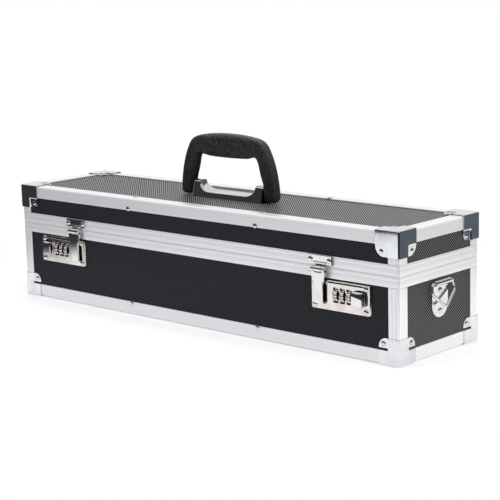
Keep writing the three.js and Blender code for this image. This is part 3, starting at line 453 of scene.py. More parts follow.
# %% Cut foam
foam, tree, surface, place = new_material("charcoal_polyether_foam",
                                          {"Specular IOR Level": 0.15, "Sheen Weight": 0.12})
pore_wall = ramp(tree, add(tree, "TexVoronoi", {"Vector": place, "Scale": 950.0}), 0.15, 0.6)
cloud = clouds(tree, place, 30.0, 3.0)
between = blend(tree, cloud, "#303236", "#3d3f43")
# Darker colour in each pore: painted shade.
paint(tree, surface, blend(tree, pore_wall, "#1d1e20", between), blend(tree, cloud, 0.88, 0.98),
      pore_wall, 0.0005, 0.7)

# %% [markdown]
# A frame profile runs right round the case. Its outline is drawn once, as pairs of [distance in from the
# outer face, height]. Near the outer face it turns the corner in an arc, and further in it turns sharp.

# %% Profiles round the case
def distance_round(outline):
    """How far round an outline each of its points lies."""
    return np.concatenate([[0], np.cumsum(np.linalg.norm(np.diff(outline, axis=0), axis=1))])


def angle_section(width, end, tip):
    """The outline of an angle, with the radii of its ends and tips."""
    return rounded([[0, 0], [width, 0], [width, sheet], [sheet, sheet], [sheet, width], [0, width]],
                   [edge_radius, end, tip, 0.6, tip, end])


def profile_piece(name, outline, body, node, steps=6):
    """Carries an outline round the case. A line that is d in from the face turns about the corner in an arc
    of radius R - d, whose centre is R in from both faces, and where d is more than R it turns sharp."""
    inset, height = outline.T
    turn = np.linspace(0, np.pi / 2, steps)
    angle = (np.arange(4)[:, None] * np.pi / 2 + turn).ravel()[:, None]
    side_x, side_y = (np.repeat(signs, steps)[:, None] for signs in ([1, -1, -1, 1], [1, 1, -1, -1]))
    centre, radius = np.maximum(edge_radius, inset), np.maximum(edge_radius - inset, 0)
    x = side_x * (half_length - centre) + radius * np.cos(angle)
    y = side_y * (half_width - centre) + radius * np.sin(angle)
    rings = np.stack([x, y, np.broadcast_to(height, x.shape)], axis=-1)
    make_piece(name, skin(rings, loop=True), anodised, "frame_aluminium", body, node,
               grain=np.tile(distance_round(outline), len(angle)))


print("a profile is", 4 * (half_length + half_width), "mm long")

# %% [markdown]
# The top frame is an angle, 14 mm wide on both sides, bent round the edge of the boards, with two rivets on
# each long side and on the flat. The bottom frame is the same angle the other way up, its flat without
# rivets.

# %% Top and bottom frame
rivet_x, rivet_in = (-95.5, 95.5), 12
angle_outline = angle_section(frame_width, 0.45, 0.3)
for edge, level, up, body, node in (("top", case_top, -1, "lid", "lid_top_frame"),
                                    ("bottom", foot, 1, "base", "base_bottom_frame")):
    spots = [(x, sy) for x in rivet_x for sy in (-1, 1)]
    heads = [rivet((x, sy * half_width, level + up * rivet_in), (0, sy, 0)) for x, sy in spots]
    if edge == "top":
        heads += [rivet((x, sy * (half_width - rivet_in), level), (0, 0, 1)) for x, sy in spots]
    profile_piece(edge + "_edge_profile", angle_outline * [1, up] + [0, level], body, node)
    make_piece(edge + "_edge_rivets", merge(*heads), nickel, "frame_aluminium", body, node)

# %% [markdown]
# The two rims are channels that close over the edges of the boards and meet at the seam. The lower one
# carries a thin tongue that enters a groove in the upper one, and a shallow step that draws the seam's dark
# line.

# %% Rims at the seam
web = rim_depth - sheet
base_outline = rounded([[0, -rim_height], [0, -0.5], [1, -0.5], [1, 0], [3, 0], [3, 2.2], [4.2, 2.2],
                        [4.2, 0], [rim_depth, 0], [rim_depth, -8], [web, -8], [web, -sheet], [sheet, -sheet],
                        [sheet, -rim_height]],
                       [0.4, 0.15, 0.15, 0.15, 0.15, 0.35, 0.35, 0.15, 0.6, 0.35, 0.35, 0.2, 0.2, 0.35])
lid_outline = rounded([[0, 0], [0, rim_height], [sheet, rim_height], [sheet, 3.9], [web, 3.9], [web, 8],
                       [rim_depth, 8], [rim_depth, 0], [4.8, 0], [4.8, 2.7], [2.4, 2.7], [2.4, 0]],
                      [0.15, 0.4, 0.35, 0.2, 0.2, 0.35, 0.35, 0.6, 0.3, 0.15, 0.15, 0.3])
profile_piece("base_rim_profile", base_outline + [0, seam], "base", "base_rim")
profile_piece("lid_rim_profile", lid_outline + [0, lid_low], "lid", "lid_rim")

# %% [markdown]
# An upright angle covers each vertical corner between the frames and the rims, butted between its
# neighbours.

# %% Upright corner profiles
post_outline = angle_section(post_width, 0.4, 0.4)
corners = [(f"{depth}_{end}", sx, sy) for depth, sy in (("front", -1), ("back", 1))
           for end, sx in (("left", -1), ("right", 1))]
past_frame, past_rim = frame_width + 0.2, rim_height + 0.2
for corner, sx, sy in corners:
    for body, low, high in (("base", foot + past_frame, seam - past_rim),
                            ("lid", lid_low + past_rim, case_top - past_frame)):
        post = carried(post_outline, low, high, 2)
        post = moved(post, (sx * half_length, sy * half_width, 0), (-sx, -sy, 1))
        make_piece(f"{body}_upright_{corner}", post, anodised, "frame_aluminium", body,
                   f"{body}_post_{corner}", grain=np.tile(distance_round(post_outline), 2))

# %% [markdown]
# A pressed corner is one sheet drawn over the corner of the frame. Each of its three faces covers two arms
# of the frame, and between them a rounded tab steps down to the board, where a rivet holds it. The sheet is
# three square grids that share their edges. The outer edges are rounded as a block's are, and the tab's
# free corner by mapping a square to a quarter disc. A corner of the base also has a slit beside each
# upright tab. The sheet gets its 0.8 mm last, and the rivet heads are shapes of their own.

# %% Pressed corners
def quarter_disc(a, b, reach, radius):
    """Rounds the far corner of a face: with x and y from 0 to 1 over the corner's square, a point moves to
    x * sqrt(1 - y * y / 2) and y * sqrt(1 - x * x / 2)."""
    x, y = (np.clip((value - end + radius) / radius, 0, None) for value, end in zip((a, b), reach))
    return a + radius * (x * np.sqrt(1 - y * y / 2) - x), b + radius * (y * np.sqrt(1 - x * x / 2) - y)


def smooth_step(value):
    share = np.clip(value, 0, 1)
    return share * share * (3 - 2 * share)


def pressed_face(reach, walls, slit, proud, round_edge, axes):
    """One face of a corner. a and b run in from its two edges, and axes says which directions a, b and depth
    are. Past both walls the sheet drops to 0.4 mm inside the frame's face, on an upright face of the lid a
    third of that at the wall and the rest down the tab. slit is the width of a slit at either wall."""
    drop, tab_radius, bend, hollow, at_wall = 0.4 + proud, 9.0, 1.0, 2.0, 0.35
    lines = [lines_between((-proud, 0), (round_edge - proud, 5), (wall - 0.6, 4), (wall, 1),
                           (wall + max(gap, 0.01), 1), (wall + gap + bend, 4), (wall + gap + bend + 2, 2),
                           (end, 6)) for wall, gap, end in zip(walls, slit, reach)]
    a, b = (grid.ravel() for grid in np.meshgrid(*lines, indexing="ij"))
    past = [a - walls[0] - slit[0], b - walls[1] - slit[1]]
    quads = grid_faces(len(lines[0]), len(lines[1]))
    in_slit = np.zeros(len(quads), bool)
    if any(slit):
        beside = 0 if slit[0] else 1
        depth_in = np.where(past[beside] > -0.005, past[1 - beside], -1)
        middle = [value[quads].mean(axis=1) - wall for value, wall in zip((a, b), walls)]
        in_slit = (middle[beside] > 0) & (middle[beside] < slit[beside]) & (middle[1 - beside] > 0)
    else:
        near = (past[0] < hollow) & (past[1] < hollow)
        depth_in = np.where(near, hollow - np.hypot(hollow - past[0], hollow - past[1]), np.minimum(*past))
    sunk = drop * smooth_step(depth_in / bend)
    if 2 in axes[:2] and not any(slit):
        down = axes.index(2)
        sunk *= at_wall + (1 - at_wall) * np.clip(past[down] / (reach[down] - walls[down]), 0, 1)
    flat = np.column_stack([*quarter_disc(a, b, reach, tab_radius), np.full_like(a, -proud)])
    inner = np.maximum(flat, round_edge - proud)
    out = flat - inner
    points = inner + round_edge * out / np.linalg.norm(out, axis=1, keepdims=True)
    points[:, 2] += sunk
    return points[:, np.argsort(axes)], [quads[~in_slit]]


def pressed_corner(length, width, height, proud, slit):
    """The flat face (a along X, b along Y), the long side's (a along Z, b along X) and the end's (a along Y,
    b along Z), and a rivet for the middle of each tab."""
    edge = 2.2 if slit else 1.9
    flat_wall, upright_wall = frame_width + 0.2, post_width + 0.2
    faces = [((length, width), (flat_wall, flat_wall), (0, 0), (0, 1, 2)),
             ((height, length), (flat_wall, upright_wall), (slit, 0), (2, 0, 1)),
             ((width, height), (upright_wall, flat_wall), (0, slit), (1, 2, 0))]
    surfaces, heads = [], []
    for reach, walls, gaps, axes in faces:
        surfaces.append(pressed_face(reach, walls, gaps, proud, edge, axes))
        tab_middle = np.array([(walls[0] + 0.8 + reach[0]) / 2, (walls[1] + 0.8 + reach[1]) / 2, 0.4])
        heads.append(rivet(tab_middle[np.argsort(axes)], -np.eye(3)[axes[2]]))
    return merge(*surfaces), merge(*heads)


for corner, sx, sy in corners:
    for body, name, level, up, lengths, finish, slot in (
            ("lid", "lid_cap_", case_top, -1, (28, 27, 26, 1.2, 0), corner_chrome, "corner_chrome"),
            ("base", "base_cap_", foot, 1, (25.5, 25.5, 26.5, 0.95, 2.3), corner_satin, "corner_satin")):
        scale, shift = (-sx, -sy, up), (sx * half_length, sy * half_width, level)
        sheet_part, heads = (moved(part, shift, scale) for part in pressed_corner(*lengths))
        node = f"{body}_corner_{corner}"
        make_piece(name + corner, sheet_part, finish, slot, body, node, weld=0.01, wall=0.8)
        make_piece(name + corner + "_rivets", heads, nickel, slot, body, node)

# %% [markdown]
# A lock plate is a pressed plate with openings for the hasp, three dials and the button. It is a filled
# curve: the outline runs one way round, the openings the other way, and the result is read back as points
# and faces.

# %% Stamped sheets
def filled(curve, levels=()):
    """The points and faces of a filled curve, cut across at some heights or else with its flats dissolved."""
    holder = in_scene("filled", curve)
    shell = bmesh.new()
    shell.from_mesh(holder.evaluated_get(bpy.context.evaluated_depsgraph_get()).to_mesh())
    bmesh.ops.remove_doubles(shell, verts=shell.verts, dist=1e-4)
    for level in levels:
        everything = shell.verts[:] + shell.edges[:] + shell.faces[:]
        bmesh.ops.bisect_plane(shell, geom=everything, plane_co=(0, level, 0), plane_no=(0, 1, 0))
    if not len(levels):
        bmesh.ops.dissolve_limit(shell, angle_limit=0.01, verts=shell.verts, edges=shell.edges)
    points = np.array([v.co for v in shell.verts])
    by_size = {}
    for face in shell.faces:
        by_size.setdefault(len(face.verts), []).append([v.index for v in face.verts])
    shell.free()
    bpy.data.objects.remove(holder)
    return points, [np.array(block) for block in by_size.values()]


def stamped(outline, openings, near, far):
    """A flat sheet with openings, drawn in X and Z and lying between two depths along Y."""
    curve = bpy.data.curves.new("stamped", "CURVE")
    curve.dimensions, curve.fill_mode, curve.extrude = "2D", "BOTH", abs(far - near) / 2
    for loop in [outline] + [opening[::-1] for opening in openings]:
        spline = curve.splines.new("POLY")
        spline.points.add(len(loop) - 1)
        spline.points.foreach_set("co", np.insert(np.insert(loop, 2, 0, axis=1), 3, 1, axis=1).ravel())
        spline.use_cyclic_u = True
    points, faces = filled(curve)
    return points[:, [0, 2, 1]] + [0, (near + far) / 2, 0], faces


sides = {"left": -1, "right": 1}
at_latch = np.array([latch_x, -half_width, seam])


def pair(name, surface, place, finish, slot, body, node, mirror=True, **shape):
    """A piece drawn about a place on the right of the case, with X out along it, Y to the back and Z up, and
    its mirror image or its copy on the left. A body or a node that starts with _ is that side's own."""
    for end, side in sides.items():
        there = moved(surface, place * [side, 1, 1], (side if mirror else 1, 1, 1))
        owners = [end + word if word[0] == "_" else word for word in (body, node)]
        make_piece(end + name, there, finish, slot, *owners, **shape)


print("latches at x =", [side * latch_x for side in sides.values()])

# %% [markdown]
# The plate's edge is turned down to the board all round. Below its upper edge the sheet is pressed into a
# ramp that shows as a dark band. A black cup behind the plate houses the dials, their axle and the bolt.

# %% Lock bodies
dial_x, axle_y, axle_z = (19.4, 27.75, 36.1), 4, -27
openings = [rectangle(-8.2, 8.2, -37.6, -18.2, 0.8),
            *[rectangle(x - 3.45, x + 3.45, -34.9, -19.1, 1.2) for x in dial_x],
            rectangle(43.6, 57.3, -33.8, -18.3, [1, 1, 4.5, 4.5])]
plate_outline = rectangle(-11.5, 61.8, -43.1, -12.9, 1.6)
face = stamped(plate_outline, openings, -1.5, -0.3)
turned_edge = stamped(plate_outline, [rectangle(-9.9, 60.2, -41.5, -14.3, 1)], -0.3, 1.2)
ramp_strip = carried([[-1.4, -13.5], [-2.15, -15.3], [-2.1, -15.5], [-1.4, -15.7]], -3, 53.5, 0)
heads = [rivet((x, -1.5, z), (0, -1, 0), 3.0, 1.6) for x in (-7.6, 57.1) for z in (-16.1, -39.5)]
outside, inside = rectangle(10, 55.8, -41.1, -15.7, 1.6), rectangle(11.2, 54.6, -39.9, -16.9, 0.6)
cup = skin(np.stack([np.insert(loop, 1, depth, axis=1) for loop, depth in
                     ((inside, 12.8), (inside, 1.0), (outside, 1.0), (outside, 14.0))]))
axle = rod(1.5, (11.0, axle_y, axle_z), 43.8, (1, 0, 0))
for name, surface, finish, bevel in (("_lock_plate", merge(face, turned_edge), nickel, 0.35),
                                     ("_lock_ramp_and_rivets", merge(ramp_strip, *heads), nickel, 0),
                                     ("_lock_cup", cup, black_steel_and_shade, 0),
                                     ("_dial_axle", axle, hinge_steel, 0)):
    pair(name, surface, at_latch, finish, "lock_nickel", "base", "_lock_body", bevel=bevel)

# %% [markdown]
# A dial is a wheel with ten number fields and a notch between two of them: across the wheel a rounded
# profile, round it a radius that dips ten times. The digits are cut across so that they can bend round the
# wheel.

# %% Dials
dial_radius, around_dial = 8.5, 120


def rim_radius(turn):
    """The full radius at a number field and 0.9 mm less half way to the next."""
    return dial_radius - 0.9 * np.sin(5 * turn) ** 4


def about_axle(x, radius, turn):
    """Points at a radius and a turn about the lock's axle. Angle 0 points out of the case."""
    return np.stack([x, axle_y - radius * np.cos(turn), axle_z + radius * np.sin(turn)], axis=-1)


def wheel():
    turn = np.linspace(0, 2 * np.pi, around_dial, endpoint=False)
    offset = np.array([-2.7, -2.7, -2.5, -2.0, 2.0, 2.5, 2.7, 2.7])[:, None]
    cut = np.array([1.0, 0.35, 0, 0, 0.35, 1.0])[:, None]
    bore = np.full((1, around_dial), 1.8)
    radius = np.vstack([bore, rim_radius(turn) - cut, bore])
    points = about_axle(offset + 0 * turn, radius, turn).reshape(-1, 3)
    return points, [grid_faces(len(offset), around_dial, True, True)]


def number(digit):
    """A glyph's height becomes an angle of height / 8.5 from its own field."""
    text = bpy.data.curves.new("number", "FONT")
    text.body, text.align_x, text.align_y = str(digit), "CENTER", "CENTER"
    text.size, text.extrude, text.resolution_u = 4.5, 0.05, 3
    points, faces = filled(text, np.arange(-1.5, 1.6, 0.5))
    x, y, z = points.T
    turn = y / dial_radius - digit * np.pi / 5
    return about_axle(x, rim_radius(turn) + z, turn), faces


dial_wheel, dial_numbers = wheel(), merge(*[number(digit) for digit in range(10)])
# Black discs on both faces of each wheel: painted shade for the dark gap beside each dial in its window.
dial_side_shade = merge(*[rod(7.7, (x, axle_y, axle_z), 1.2, (1, 0, 0), 0.1, 60) for x in (-2.95, 1.75)])
for name, side in sides.items():
    for index, x in enumerate(dial_x, 1):
        body, place = f"{name}_dial_{index}", (side * (latch_x + x), -half_width, seam)
        make_piece(body + "_wheel", moved(dial_wheel, place), nickel, "lock_nickel", body, body, sharp=50)
        make_piece(body + "_sides", moved(dial_side_shade, place), black_steel_and_shade, "lock_nickel", body, body)
        make_piece(body + "_numbers", moved(dial_numbers, place), enamel, "lock_nickel", body, body)

# %% [markdown]
# The release button slides outwards under the thumb. It is a soft block with a fine grid whose points are
# moved in: its face leans back towards the top, and its upper edge is bowed. With it go a lower rim at its
# outer end, the stem through the plate and the flat bolt.

# %% Release sliders
inner_end, button_face, button_back, button_top = 42.5, -7, -1.8, -19.6
points, faces = soft_block((inner_end, button_face, -34.2), (55.9, button_back, button_top), 0.5, pitch=0.5)
proud = np.clip((button_back - points[:, 1]) / (button_back - button_face), 0, 1)
along = np.clip((points[:, 0] - inner_end) / 13.8, 0, 1)
start = -24.0 - 3.2 * along ** 1.3
lean = 1.5 * np.clip((points[:, 2] - start) / (-20.5 - start), 0, 1) ** 1.4
lip = 1.3 - 0.8 * (2 * along - 1) ** 2
points[:, 1] += (lean + np.clip(points[:, 2] - button_top + lip, 0, None)) * proud
slider = merge((points, faces), *[soft_block(low, high, 0.2) for low, high in (
    ((44, -3.2, -33.6), (56.9, -1.7, -20.6)), ((46, -2, -31.1), (50, 1.1, -22.9)),
    ((46, -0.1, -39.7), (50, 1.1, -27)), ((4.3, -0.1, -39.7), (50, 1.1, -36.3)))])
pair("_release_button", slider, at_latch, latch_chrome, "latch_chrome", "_slider", "_release_slider",
     sharp=60)

# %% [markdown]
# The hasp is a stamped arm with two knuckles that turn on the keeper's pin, flanges along its lower half
# and a lug that points into the lock.

# %% Hasps
pin_y, pin_z, knuckle = -4.4, -2, 3.2
half_arm = [[8.7, -2], [8.7, -8.8], [7.8, -10.6], [7.8, -13.4], [5.5, -15.4], [5.5, -37.1]]
arm_outline = rounded([[-x, z] for x, z in half_arm] + half_arm[::-1]
                      + [[4.6, -2], [4.6, -5.6], [-4.6, -5.6], [-4.6, -2]],
                      [0, 1.2, 1.2, 0.8, 1, 1.2, 1.2, 1, 0.8, 1.2, 1.2, 0, 0, 0.5, 0.5, 0])
flange = rounded([[-5.8, -16.6], [-4.6, -17.2], [-3.6, -20.2], [-2.0, -21.4], [-2.0, -36.6], [-5.8, -36.6]],
                 0.5)
hasp = merge(carried(arm_outline, -6, -3, 1), soft_block((-4, -4, -37.1), (4, 0.9, -33.6), 0.4),
             *[rod(knuckle, (x, pin_y, pin_z), 4.1, (1, 0, 0)) for x in (-8.7, 4.6)],
             *[carried(flange, x - 0.45, x + 0.45, 0) for x in (-5.0, 5.0)])
pair("_hasp_arm", hasp, at_latch, latch_chrome, "latch_chrome", "_hasp", "_hasp", bevel=0.4)

# %% [markdown]
# The keeper is riveted to the lid's rim. Its lower edge is folded over a raised step and then round the
# pin.

# %% Keepers
fold = [[-0.2, 2.8], [-3.1, 2.9], [-4.4, -0.5], [-4.4, -2], [-0.4, -0.4]]
keeper = merge(carried(rectangle(-16, 16, -2.4, -0.2, [1.4, 1.4, 0.2, 0.2], 4), 2.6, 11.4, 2),
               soft_block((-8.4, -3.2, 2.7), (8.4, -1.6, 5.2), 0.5), carried(fold, -4.3, 4.3, 0),
               rod(knuckle, (-4.3, pin_y, pin_z), 8.6, (1, 0, 0)),
               rod(1.25, (-8.9, pin_y, pin_z), 17.8, (1, 0, 0)),
               *[rivet((x, -2.4, 7), (0, -1, 0)) for x in (-12, 12)])
pair("_keeper_plate", keeper, at_latch, latch_chrome, "latch_chrome", "lid", "_keeper", bevel=0.35)

# %% [markdown]
# Each rear hinge has a leaf on the base, a leaf on the lid and a headed pin. The lid's leaf has the middle
# knuckle, the base's the two outer ones.

# %% Hinges
at_hinge = np.array([170, 71.9, 89.85])


def leaf(spans):
    """The lid's leaf, drawn about the pin. spans are its knuckles in X."""
    fold = [[-4.2, 3.65], [-4.2, 1.75], [0, 0], [0, 3.2], [-3.0, 3.65]]
    return merge(carried(rectangle(-22, 22, 3.45, 10.75, 1.2), -4.2, -3.0, 1),
                 *[carried(fold, a, b, 0) for a, b in spans],
                 *[rod(knuckle, (a, 0, 0), b - a, (1, 0, 0)) for a, b in spans],
                 *[rivet((x, -3.0, 7.2), (0, 1, 0), 1.7) for x in (-16, 16)])


head = np.vstack([[[0, 0], [2.3, 0]], arc(0, 90, 6) * [2.3, 0.55] + [0, 0.35]])
pin = merge(rod(1.4, (-22.4, 0, 0), 44.8, (1, 0, 0)),
            *[turned(head, (22.3 * sx, 0, 0), (sx, 0, 0)) for sx in (1, -1)])
upper, lower = leaf([(-7.33, 7.33)]), moved(leaf([(-22, -7.63), (7.63, 22)]), scale=(1, 1, -1))
for name, surface, body, node, bevel in (("upper_leaf", upper, "lid", "lid_leaf", 0.2),
                                         ("lower_leaf", lower, "base", "base_leaf", 0.2),
                                         ("pin_headed", pin, "base", "pin", 0)):
    pair("_hinge_" + name, surface, at_hinge, hinge_steel, "hinge_steel", body, "_hinge_" + node,
         mirror=False, bevel=bevel)

# %% [markdown]
# The handle is a section carried along a bent line. On the legs it is a rounded rectangle with a shallow
# channel inside. Under the hand a belly that fills the palm hangs below a small step.

# %% Handle sections
def smooth_path(points, steps):
    """A Catmull-Rom curve: a smooth line from b to c that also looks at their neighbours a and d."""
    points = np.array(points, float)
    padded = np.vstack([2 * points[0] - points[1], points, 2 * points[-1] - points[-2]])
    a, b, c, d = (padded[i:len(points) - 1 + i, None] for i in range(4))
    t = np.linspace(0, 1, steps, endpoint=False)[None, :, None]
    curve = 2 * b + (c - a) * t + (2 * a - 5 * b + 4 * c - d) * t ** 2 + (3 * b - a - 3 * c + d) * t ** 3
    return np.vstack([(curve / 2).reshape(-1, points.shape[1]), points[-1:]])


around = np.linspace(0, 2 * np.pi, 72, endpoint=False)


def superellipse(power):
    """Points round |x| ** power + |y| ** power = 1, from -1 to 1 both ways."""
    c, s = np.cos(around), np.sin(around)
    return np.sign(c) * np.abs(c) ** (2 / power), np.sign(s) * np.abs(s) ** (2 / power)


height, depth = superellipse(5.5)
channel = 0.14 * smooth_step((0.62 - np.abs(depth)) / 0.2) * (height < -0.6)
leg_section = np.column_stack([0.5 + 0.5 * height + channel, depth])
height, depth = superellipse(3.2)
lip = smooth_step((np.clip(-height, 0, 1) - 0.58) / 0.07)
hang = -0.22 * np.sqrt(np.clip(1 - depth ** 2, 0, 1)) * lip
grip_section = np.column_stack([0.5 + 0.5 * height + 0.1 * lip + hang, depth * (1 - 0.26 * lip)])
print("sections of", len(around), "points")

# %% [markdown]
# Each row of the bent line is [outer x, outer z, inner x, inner z], from a pin up and over to the middle.
# The other half is its mirror image. The feet are round, so that the handle can fold.

# %% Handle
bend = [[69.2, 3.2, 54.9, 3.2], [68.2, 12.9, 53.7, 12.8], [65.7, 25.9, 50, 23.4], [61.6, 38.8, 47.6, 33.3],
        [56.7, 49.2, 45.6, 38.2], [52.9, 55, 44, 39.9], [47.7, 58.9, 42, 40.9], [40.1, 61.5, 37, 41.2],
        [27.7, 63.4, 27, 40.9], [13.8, 64.4, 13.8, 40.6], [0, 64.7, 0, 40.5]]
foot_radius, toe_radius, handle_place = 7.0, 3.5, (-1.2, 0, 140.4)
drop = np.array([6.9, 6.6, 6.0, 5.0, 3.6, 1.6, 0, -1.6])[:, None]
toe = toe_radius - np.sqrt(toe_radius ** 2 - np.clip(drop - toe_radius, 0, None) ** 2)
line = np.vstack([np.hstack([69.2 - toe, -drop, 54.9 + toe, -drop]), smooth_path(bend, 6)])
half_depth = np.sqrt(np.clip(foot_radius ** 2 - np.clip(line[:, 1], None, 0) ** 2, 0.2, None))
half_depth = half_depth + 1.8 * smooth_step((55 - line[:, 0]) / 45)
palm = smooth_step((50 - line[:, 0]) / 22)
line = np.vstack([line, line[-2::-1] * [-1, 1, -1, 1]])
half_depth, palm = (np.concatenate([v, v[-2::-1]])[:, None] for v in (half_depth, palm))
share = leg_section[:, 0] * (1 - palm) + grip_section[:, 0] * palm
x = line[:, 2:3] + (line[:, 0:1] - line[:, 2:3]) * share
z = line[:, 3:4] + (line[:, 1:2] - line[:, 3:4]) * share
y = half_depth * (leg_section[:, 1] * (1 - palm) + grip_section[:, 1] * palm)
handle = moved(skin(np.stack([x, y, z], axis=-1)), handle_place)
make_piece("moulded_handle", handle, grained, "handle_plastic", "handle", "handle_grip", sharp=50)

# %% [markdown]
# The handle's bracket is pressed from one sheet, high at the ends, where the pins sit, and low between them
# for the hand. Its walls lean in a little, its top is a trough that rises to the back, and the dip's flanks
# are quarter circles. It is a tube along the case.

# %% Handle bracket
dip_half, dip_level, dip_depth, flank_radius = 27, 138.6, 12.6, 14.5
bracket_foot, lean_in, straight_half = 132.8, 0.16, 50.4


def bracket_section(x):
    """The cross-section at x as rows of [x, y, z]: up the front wall, over its rounded edge, down into the
    trough and up again to the back wall, which stands 1.2 mm higher in the dip."""
    rise = 1 - np.sqrt(1 - np.clip((abs(x) - dip_half) / flank_radius, 0, 1) ** 2)
    end = max(abs(x) - straight_half, 0)
    top, dip = dip_level + dip_depth * rise - 0.3 * end, 1 - rise
    foot_half = 6.8 + np.sqrt(2.2 ** 2 - end ** 2)
    half = foot_half - lean_in * (top - bracket_foot)
    edge = 0.6 + 3.2 * rise
    share = np.linspace(0, 1, 8)
    trough = np.column_stack([edge - half + 1.3 + (2 * half - 2 * edge - 1.9) * share,
                              top - 0.15 - 2.4 * dip + 3.6 * dip * share ** 1.4])
    turn = np.radians([0, 22, 45, 67, 90])
    front_edge = np.column_stack([edge - half - edge * np.cos(turn), top - edge + edge * np.sin(turn)])
    back_edge = (front_edge * [-1, 1] + [0, 1.2 * dip])[::-1]
    section = np.vstack([[[-foot_half, bracket_foot]], front_edge, [[edge - half + 0.5, top - 0.05]], trough,
                         back_edge, [[foot_half, bracket_foot]]])
    return np.insert(section, 0, x, axis=1)


flank = dip_half + flank_radius * np.sin(np.linspace(0, np.pi / 2, 16))
half_stations = np.concatenate([flank, [43, straight_half, 51.6, 52.3, 52.6]])
stations = np.concatenate([-half_stations[::-1], half_stations])
pins = [rod(2.5, (sx * 52.0, 0, 141.3), 10.4, (sx, 0, 0)) for sx in (-1, 1)]
bracket = merge(skin(np.stack([bracket_section(x) for x in stations])), *pins)
make_piece("pressed_handle_bracket", bracket, latch_chrome, "latch_chrome", "lid", "handle_bracket", sharp=40)

# %% [markdown]
# A strap ring hangs in the rolled upper edge of a riveted plate. The roll is a thick arc: its outer line
# one way, its inner line back.

# %% Strap plates
plate_radius, bar_x = 13.5, 2.9
at_end = np.array([half_length, 0, 74])
plate_end = plate_radius * arc(0, -180, 25) - [0, 22.5]
plate = np.vstack([[[plate_radius, 0.5]], plate_end, [[-plate_radius, 0.5]]])
round_bar = arc(-125, 215, 40)
roll = np.vstack([2.7 * round_bar, 1.7 * round_bar[::-1]]) + [bar_x, 0]
strap_plate = merge(carried(plate, -1.2, 0.3, 0), carried(roll, -12.4, 12.9, 1),
                    *[rivet((0.3, 0, z), (1, 0, 0)) for z in (-8, -29)])
pair("_strap_bracket", strap_plate, at_end, latch_chrome, "latch_chrome", "base", "_strap_plate", bevel=0.35)

# %% [markdown]
# The ring is 3 mm wire, bent to a triangle with rounded corners: a circle carried round that line. The
# rivets hold it off the plate, so it hangs 11 degrees out.

# %% Strap rings
wire, lift = 1.5, np.radians(11)
line = rounded([[17.2, 0], [19.6, -9.2], [0, -25.2], [-19.6, -9.2], [-17.2, 0]], [2.6, 5, 4.5, 5, 2.6], 10)
along = np.roll(line, -1, axis=0) - np.roll(line, 1, axis=0)
along /= np.linalg.norm(along, axis=1, keepdims=True)
across = np.column_stack([-along[:, 1], along[:, 0]])
turn = np.linspace(0, 2 * np.pi, 20, endpoint=False)
flat = line[:, None] + wire * np.cos(turn)[None, :, None] * across[:, None]
out = np.broadcast_to(wire * np.sin(turn), flat.shape[:2])
away = out * np.cos(lift) - flat[..., 1] * np.sin(lift) + bar_x
hang = out * np.sin(lift) + flat[..., 1] * np.cos(lift)
ring = skin(np.stack([away, flat[..., 0], hang], axis=2), loop=True)
pair("_wire_ring", ring, at_end, corner_satin, "latch_chrome", "_ring", "_strap_ring")

# %% [markdown]
# The base is lined with a tray of foam: a row of rounded rectangles goes up the outside, over a soft rim,
# and down to the floor of the hollow.

# %% Foam tray
foam_x, foam_y, soft, tray_top = 273.3, 60.8, 1.3, 80.1


def foam_piece(name, surface, body, node, **shape):
    """A block of foam, made as a piece in the foam finish."""
    piece = make_piece(name, surface, foam, "lining_foam", body, node, sharp=50, **shape)


def tray_ring(grow, radius, z, x=foam_x, y0=-foam_y, y1=foam_y):
    """A rounded rectangle at a height, larger than the given one by grow."""
    return np.insert(rectangle(-x - grow, x + grow, y0 - grow, y1 + grow, radius), 2, z, axis=1)


hollow = {"x": foam_x - 3, "y0": -51.4, "y1": foam_y - 3}
over = np.linspace(0, np.pi / 2, 5)
rings = [tray_ring(0, 2.5, 7.65),
         *[tray_ring(soft * (np.cos(a) - 1), 2.5, tray_top + soft * np.sin(a)) for a in over],
         *[tray_ring(soft * (1 - np.sin(a)), 5, tray_top + soft * np.cos(a), **hollow) for a in over],
         tray_ring(0, 5, 12.6, **hollow), tray_ring(-0.8, 5, 11.65, **hollow)]
foam_piece("foam_tray", skin(np.stack(rings)), "base", "base_lining")

# %% [markdown]
# The lid holds the knives down with a pad of egg-crate foam, whose underside is a field of hills 22 mm
# apart.

# %% Lid pad
points, faces = soft_block((-foam_x, -foam_y, 119.3), (foam_x, foam_y, 127.3), 1.2, pitch=2.4)
waves = np.cos(2 * np.pi * points[:, :2] / 22)
inside = np.minimum(foam_x - np.abs(points[:, 0]), foam_y - np.abs(points[:, 1]))
points[:, 2] += 1.7 * (1 - waves.prod(axis=1)) * smooth_step((inside - 3) / 6) * (points[:, 2] < 120)
foam_piece("lid_foam_pad", (points, faces), "lid", "lid_lining")

# %% [markdown]
# Two foam racks stand across the tray, one with narrow slots for blades, the other with wider notches for
# handles. Each is an outline with its cuts, carried along the case.

# %% Racks
def rack_outline(width, depth):
    """From -51.1 to 57.5 mm across the case, 50 mm high, with four cuts a quarter of that apart."""
    front, back, floor, top = -51.1, 57.5, 11.95, 61.95
    middles = back - (back - front) / 4 * (np.arange(4) + 0.5)
    bottom = arc(0, -180, 13) * width / 2 + [0, top - depth + width / 2]
    cut = np.vstack([[width / 2, top], bottom, [-width / 2, top]])
    return np.vstack([[[front, floor], [back, floor], [back, top]], *[cut + [m, 0] for m in middles],
                      [[front, top]]])


for name, node, x, width, depth in (("blade_foam_rack", "blade_rack", -165, 6, 36),
                                    ("handle_foam_rack", "handle_rack", 165, 18, 24)):
    foam_piece(name, carried(rack_outline(width, depth), x - 13, x + 13, 0), "base", node, bevel=0.8)

# %% [markdown]
# The photograph was taken from the front right, a little above the case, with a long lens. The camera was
# fitted to the corners of the case.

